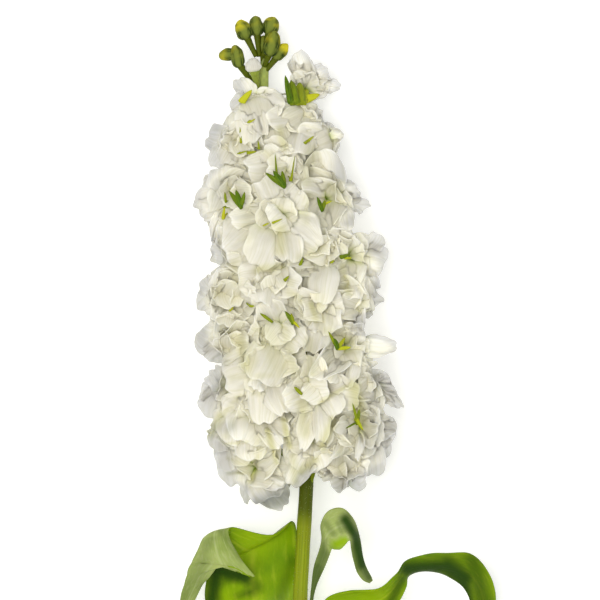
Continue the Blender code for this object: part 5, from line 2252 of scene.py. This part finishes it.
@dataclass
class Leaf:
    """A strap leaf with waved margins and a raised midrib."""

    node: str
    sections: Sections
    strokes: tuple[Stroke, ...] = ()
    wave: float = 0.8
    lobes: float = 3.0
    columns: int = 24
    rows: int = 90
    wall: float = 0.6
    step: float = 0.02
    crinkle: float = 0.35
    crinkles: float = 61.0
    grain: float = 0.09
    uneven: float = 0.5
    clearance: float = 0.05

    def place(self) -> Place:
        """Works out where the leaf's sheet goes.

        Returns:
            Where a point of the sheet goes.
        """
        left = [Vector(section[0]) for section in self.sections]
        right = [Vector(section[1]) for section in self.sections]
        keel = [Vector((section[2], 0.0, 0.0)) for section in self.sections]

        def place(u: float, v: float) -> Vector:
            """Finds a point of the leaf.

            Args:
                u: The place across it, from -1 to 1.
                v: The place along it, from 0 to 1.

            Returns:
                The point.
            """
            a, b = curve_through(left, v), curve_through(right, v)
            after, before = min(v + self.step, 1.0), max(v - self.step, 0.0)
            ahead = curve_through(left, after) + curve_through(right, after)
            ahead -= curve_through(left, before) + curve_through(right, before)
            normal = (b - a).cross(ahead).normalized()
            lift = curve_through(keel, v).x * (1 - u * u)
            lift += self.wave * u * u * math.sin(math.pi * (self.lobes * v * 2 + (0.5 if u > 0 else 0.0)))
            lift += self.crinkle * self.wave * abs(u) ** 5 * math.sin(self.crinkles * v + 3 * (u > 0))
            point = a.lerp(b, (u + 1) / 2) + normal * lift
            point += noise.noise_vector(point * self.grain) * self.uneven
            point.z = max(point.z, self.wall / 2 + self.clearance)
            return point

        return place

    def build(self, upper: Material, under: Material) -> Thing:
        """Builds the leaf.

        Args:
            upper: The material of its upper side.
            under: The material of its underside.

        Returns:
            The finished piece.
        """
        clay = Clay()
        for vertex in clay.sheet(self.columns, self.rows, self.place()):
            # The strokes paint shade and light into the leaf.
            marks = stroked(self.strokes, *to_picture(vertex.co.x, vertex.co.y), vertex[clay.along])
            vertex[clay.deep] = max(marks) + min(marks)
        return clay.piece(f"{self.node}_blade", Slot.LEAF, (self.node,), (upper, under), self.wall, 0.3)


def low_sections(along: float, side: int, length: float, width: float, arch: float) -> Sections:
    """Works out the cross-sections of a leaf lower down, which arches down beside the stem.

    Args:
        along: Where it joins the stem.
        side: 1 on the right of the stem, -1 on its left.
        length: Its length.
        width: Its width.
        arch: How high it arches.

    Returns:
        The cross-sections.
    """
    middle = stem_middle(along)
    radius = read_off(STEM_RADII, along)
    sections = []
    for index in range(LOW_SECTIONS):
        share = index / (LOW_SECTIONS - 1)
        lean = LOW_LEAN + LOW_BEND * share
        out = radius + SEAT_GAP + LOW_GAP + length * share * math.sin(lean)
        ahead = length * share * math.cos(lean) * (1 - 0.35 * share)
        rise = arch * math.sin(math.pi * min(1.0, share * 0.9)) - (middle.z - LOW_TIP) * share**1.6
        centre = middle + Vector((side * out, ahead, rise))
        half = width / 2 * max(0.12, math.sin(math.pi * share**0.8) ** 0.7)
        cross = Vector((-math.cos(lean) * side, math.sin(lean), 0.25 * math.sin(5 * share)))
        keel = LOW_KEEL * math.sin(math.pi * share)
        sections.append((tuple(centre + cross * half), tuple(centre - cross * half), -side * keel))
    return tuple(sections)


@dataclass
class Studio:
    """The pale floor, the soft lights and the camera, which looks straight down."""

    distance: float = 4.0
    sensor: float = 36.0
    mean_height: float = 30.0
    aim: tuple = (0.0, 0.08, 0.02)
    floor_side: float = 12.0
    floor_faces: int = 8
    clipped: tuple = (0.1, 30.0)
    sky: float = 0.5
    key: float = 179.0
    fill: float = 3.0

    def build(self) -> None:
        """Builds the studio."""
        self.floor()
        self.lights()
        self.camera()
        bpy.context.scene.view_settings.view_transform = "Standard"

    def floor(self) -> None:
        """Lays the floor."""
        shape, half = bmesh.new(), self.floor_side / 2
        bmesh.ops.create_grid(shape, x_segments=self.floor_faces, y_segments=self.floor_faces, size=half)
        mesh = bpy.data.meshes.new("floor")
        shape.to_mesh(mesh)
        shape.free()
        mesh.materials.append(FloorFinish().material())
        thing = bpy.data.objects.new("floor", mesh)
        bpy.context.scene.collection.objects.link(thing)

    def lights(self) -> None:
        """Hangs a large soft light high up, a little to the left, and a weaker one on the right."""
        world = bpy.data.worlds.new("studio_air")
        world.use_nodes = True
        air = world.node_tree.nodes["Background"]
        air.inputs["Color"].default_value = (1.0, 0.995, 0.985, 1.0)
        air.inputs["Strength"].default_value = self.sky
        bpy.context.scene.world = world
        for name, spot, size, power, colour in (
            ("key_light", (-0.7, 0.0, 5.0), 2.6, self.key, (1.0, 0.985, 0.955)),
            ("fill_light", (1.5, -0.4, 1.3), 1.2, self.fill, (0.90, 0.95, 1.0)),
        ):
            lamp = bpy.data.lights.new(name, "AREA")
            lamp.shape = "DISK"
            lamp.size = size
            lamp.energy = power
            lamp.color = colour
            thing = bpy.data.objects.new(name, lamp)
            thing.location = spot
            ahead = Vector(self.aim) - Vector(spot)
            thing.rotation_euler = ahead.to_track_quat("-Z", "Y").to_euler()
            bpy.context.scene.collection.objects.link(thing)

    def camera(self) -> None:
        """Sets the camera straight above the middle of the picture's frame."""
        lens = bpy.data.cameras.new("camera")
        lens.sensor_width = self.sensor
        wide = PICTURE_PIXELS / PIXELS_PER_MM * MM
        lens.lens = self.sensor * (self.distance - self.mean_height * MM) / wide
        lens.clip_start, lens.clip_end = self.clipped
        thing = bpy.data.objects.new("camera", lens)
        middle = (Vector((*PICTURE_MIDDLE, 0.0)) + PLANT_ZERO) * MM
        thing.location = (middle.x, middle.y, self.distance)
        bpy.context.scene.collection.objects.link(thing)
        bpy.context.scene.camera = thing


def main() -> None:
    """Builds the dressed plant and its studio."""
    # Without a seed, Blender starts its noise from the clock, and no two runs agree.
    noise.seed_set(SEED)
    logging.basicConfig(level=logging.INFO, format="%(name)s %(message)s")
    blooms = UPPER_BLOOMS + LOWER_BLOOMS
    flowers = [Flower(index + 1, bloom) for index, bloom in enumerate(blooms)]
    set_walls(flowers)
    petal = PetalFinish().material()
    stem = StemFinish().material()
    upper = LeafFinish().material()
    under = LeafFinish(
        "leaf_under",
        light=(0.34, 0.41, 0.12),
        dark=(0.19, 0.27, 0.04),
        rib=(0.46, 0.52, 0.22),
        roughness=0.6,
        shine=0.15,
    ).material()
    bud = BudFinish().material()
    sepal = StemFinish(
        "sepal_skin",
        light=(0.12, 0.20, 0.006),
        dark=(0.035, 0.085, 0.003),
        flush=(0.10, 0.18, 0.006),
        pith=(0.50, 0.52, 0.02),
    ).material()
    Stem(flowers).build(stem)
    Greenery(flowers).build(sepal)
    BudCluster().build(bud, stem)
    for flower in flowers:
        fine = flower.is_upper
        BloomPiece(flower, 14 if fine else 9, 16 if fine else 10).build(petal)
    Leaf("leaf_left", LEAF_LEFT, STROKES_LEFT, wave=0.5).build(upper, under)
    Leaf("leaf_middle", LEAF_MIDDLE, STROKES_MIDDLE, wave=0.2).build(under, upper)
    Leaf("leaf_right", LEAF_RIGHT, STROKES_RIGHT, wave=0.4).build(upper, upper)
    for index, row in enumerate(LOWER_LEAVES):
        Leaf(f"leaf_low_{index + 1}", low_sections(*row)).build(upper, under)
    Studio().build()


if __name__ == "__main__":
    main()
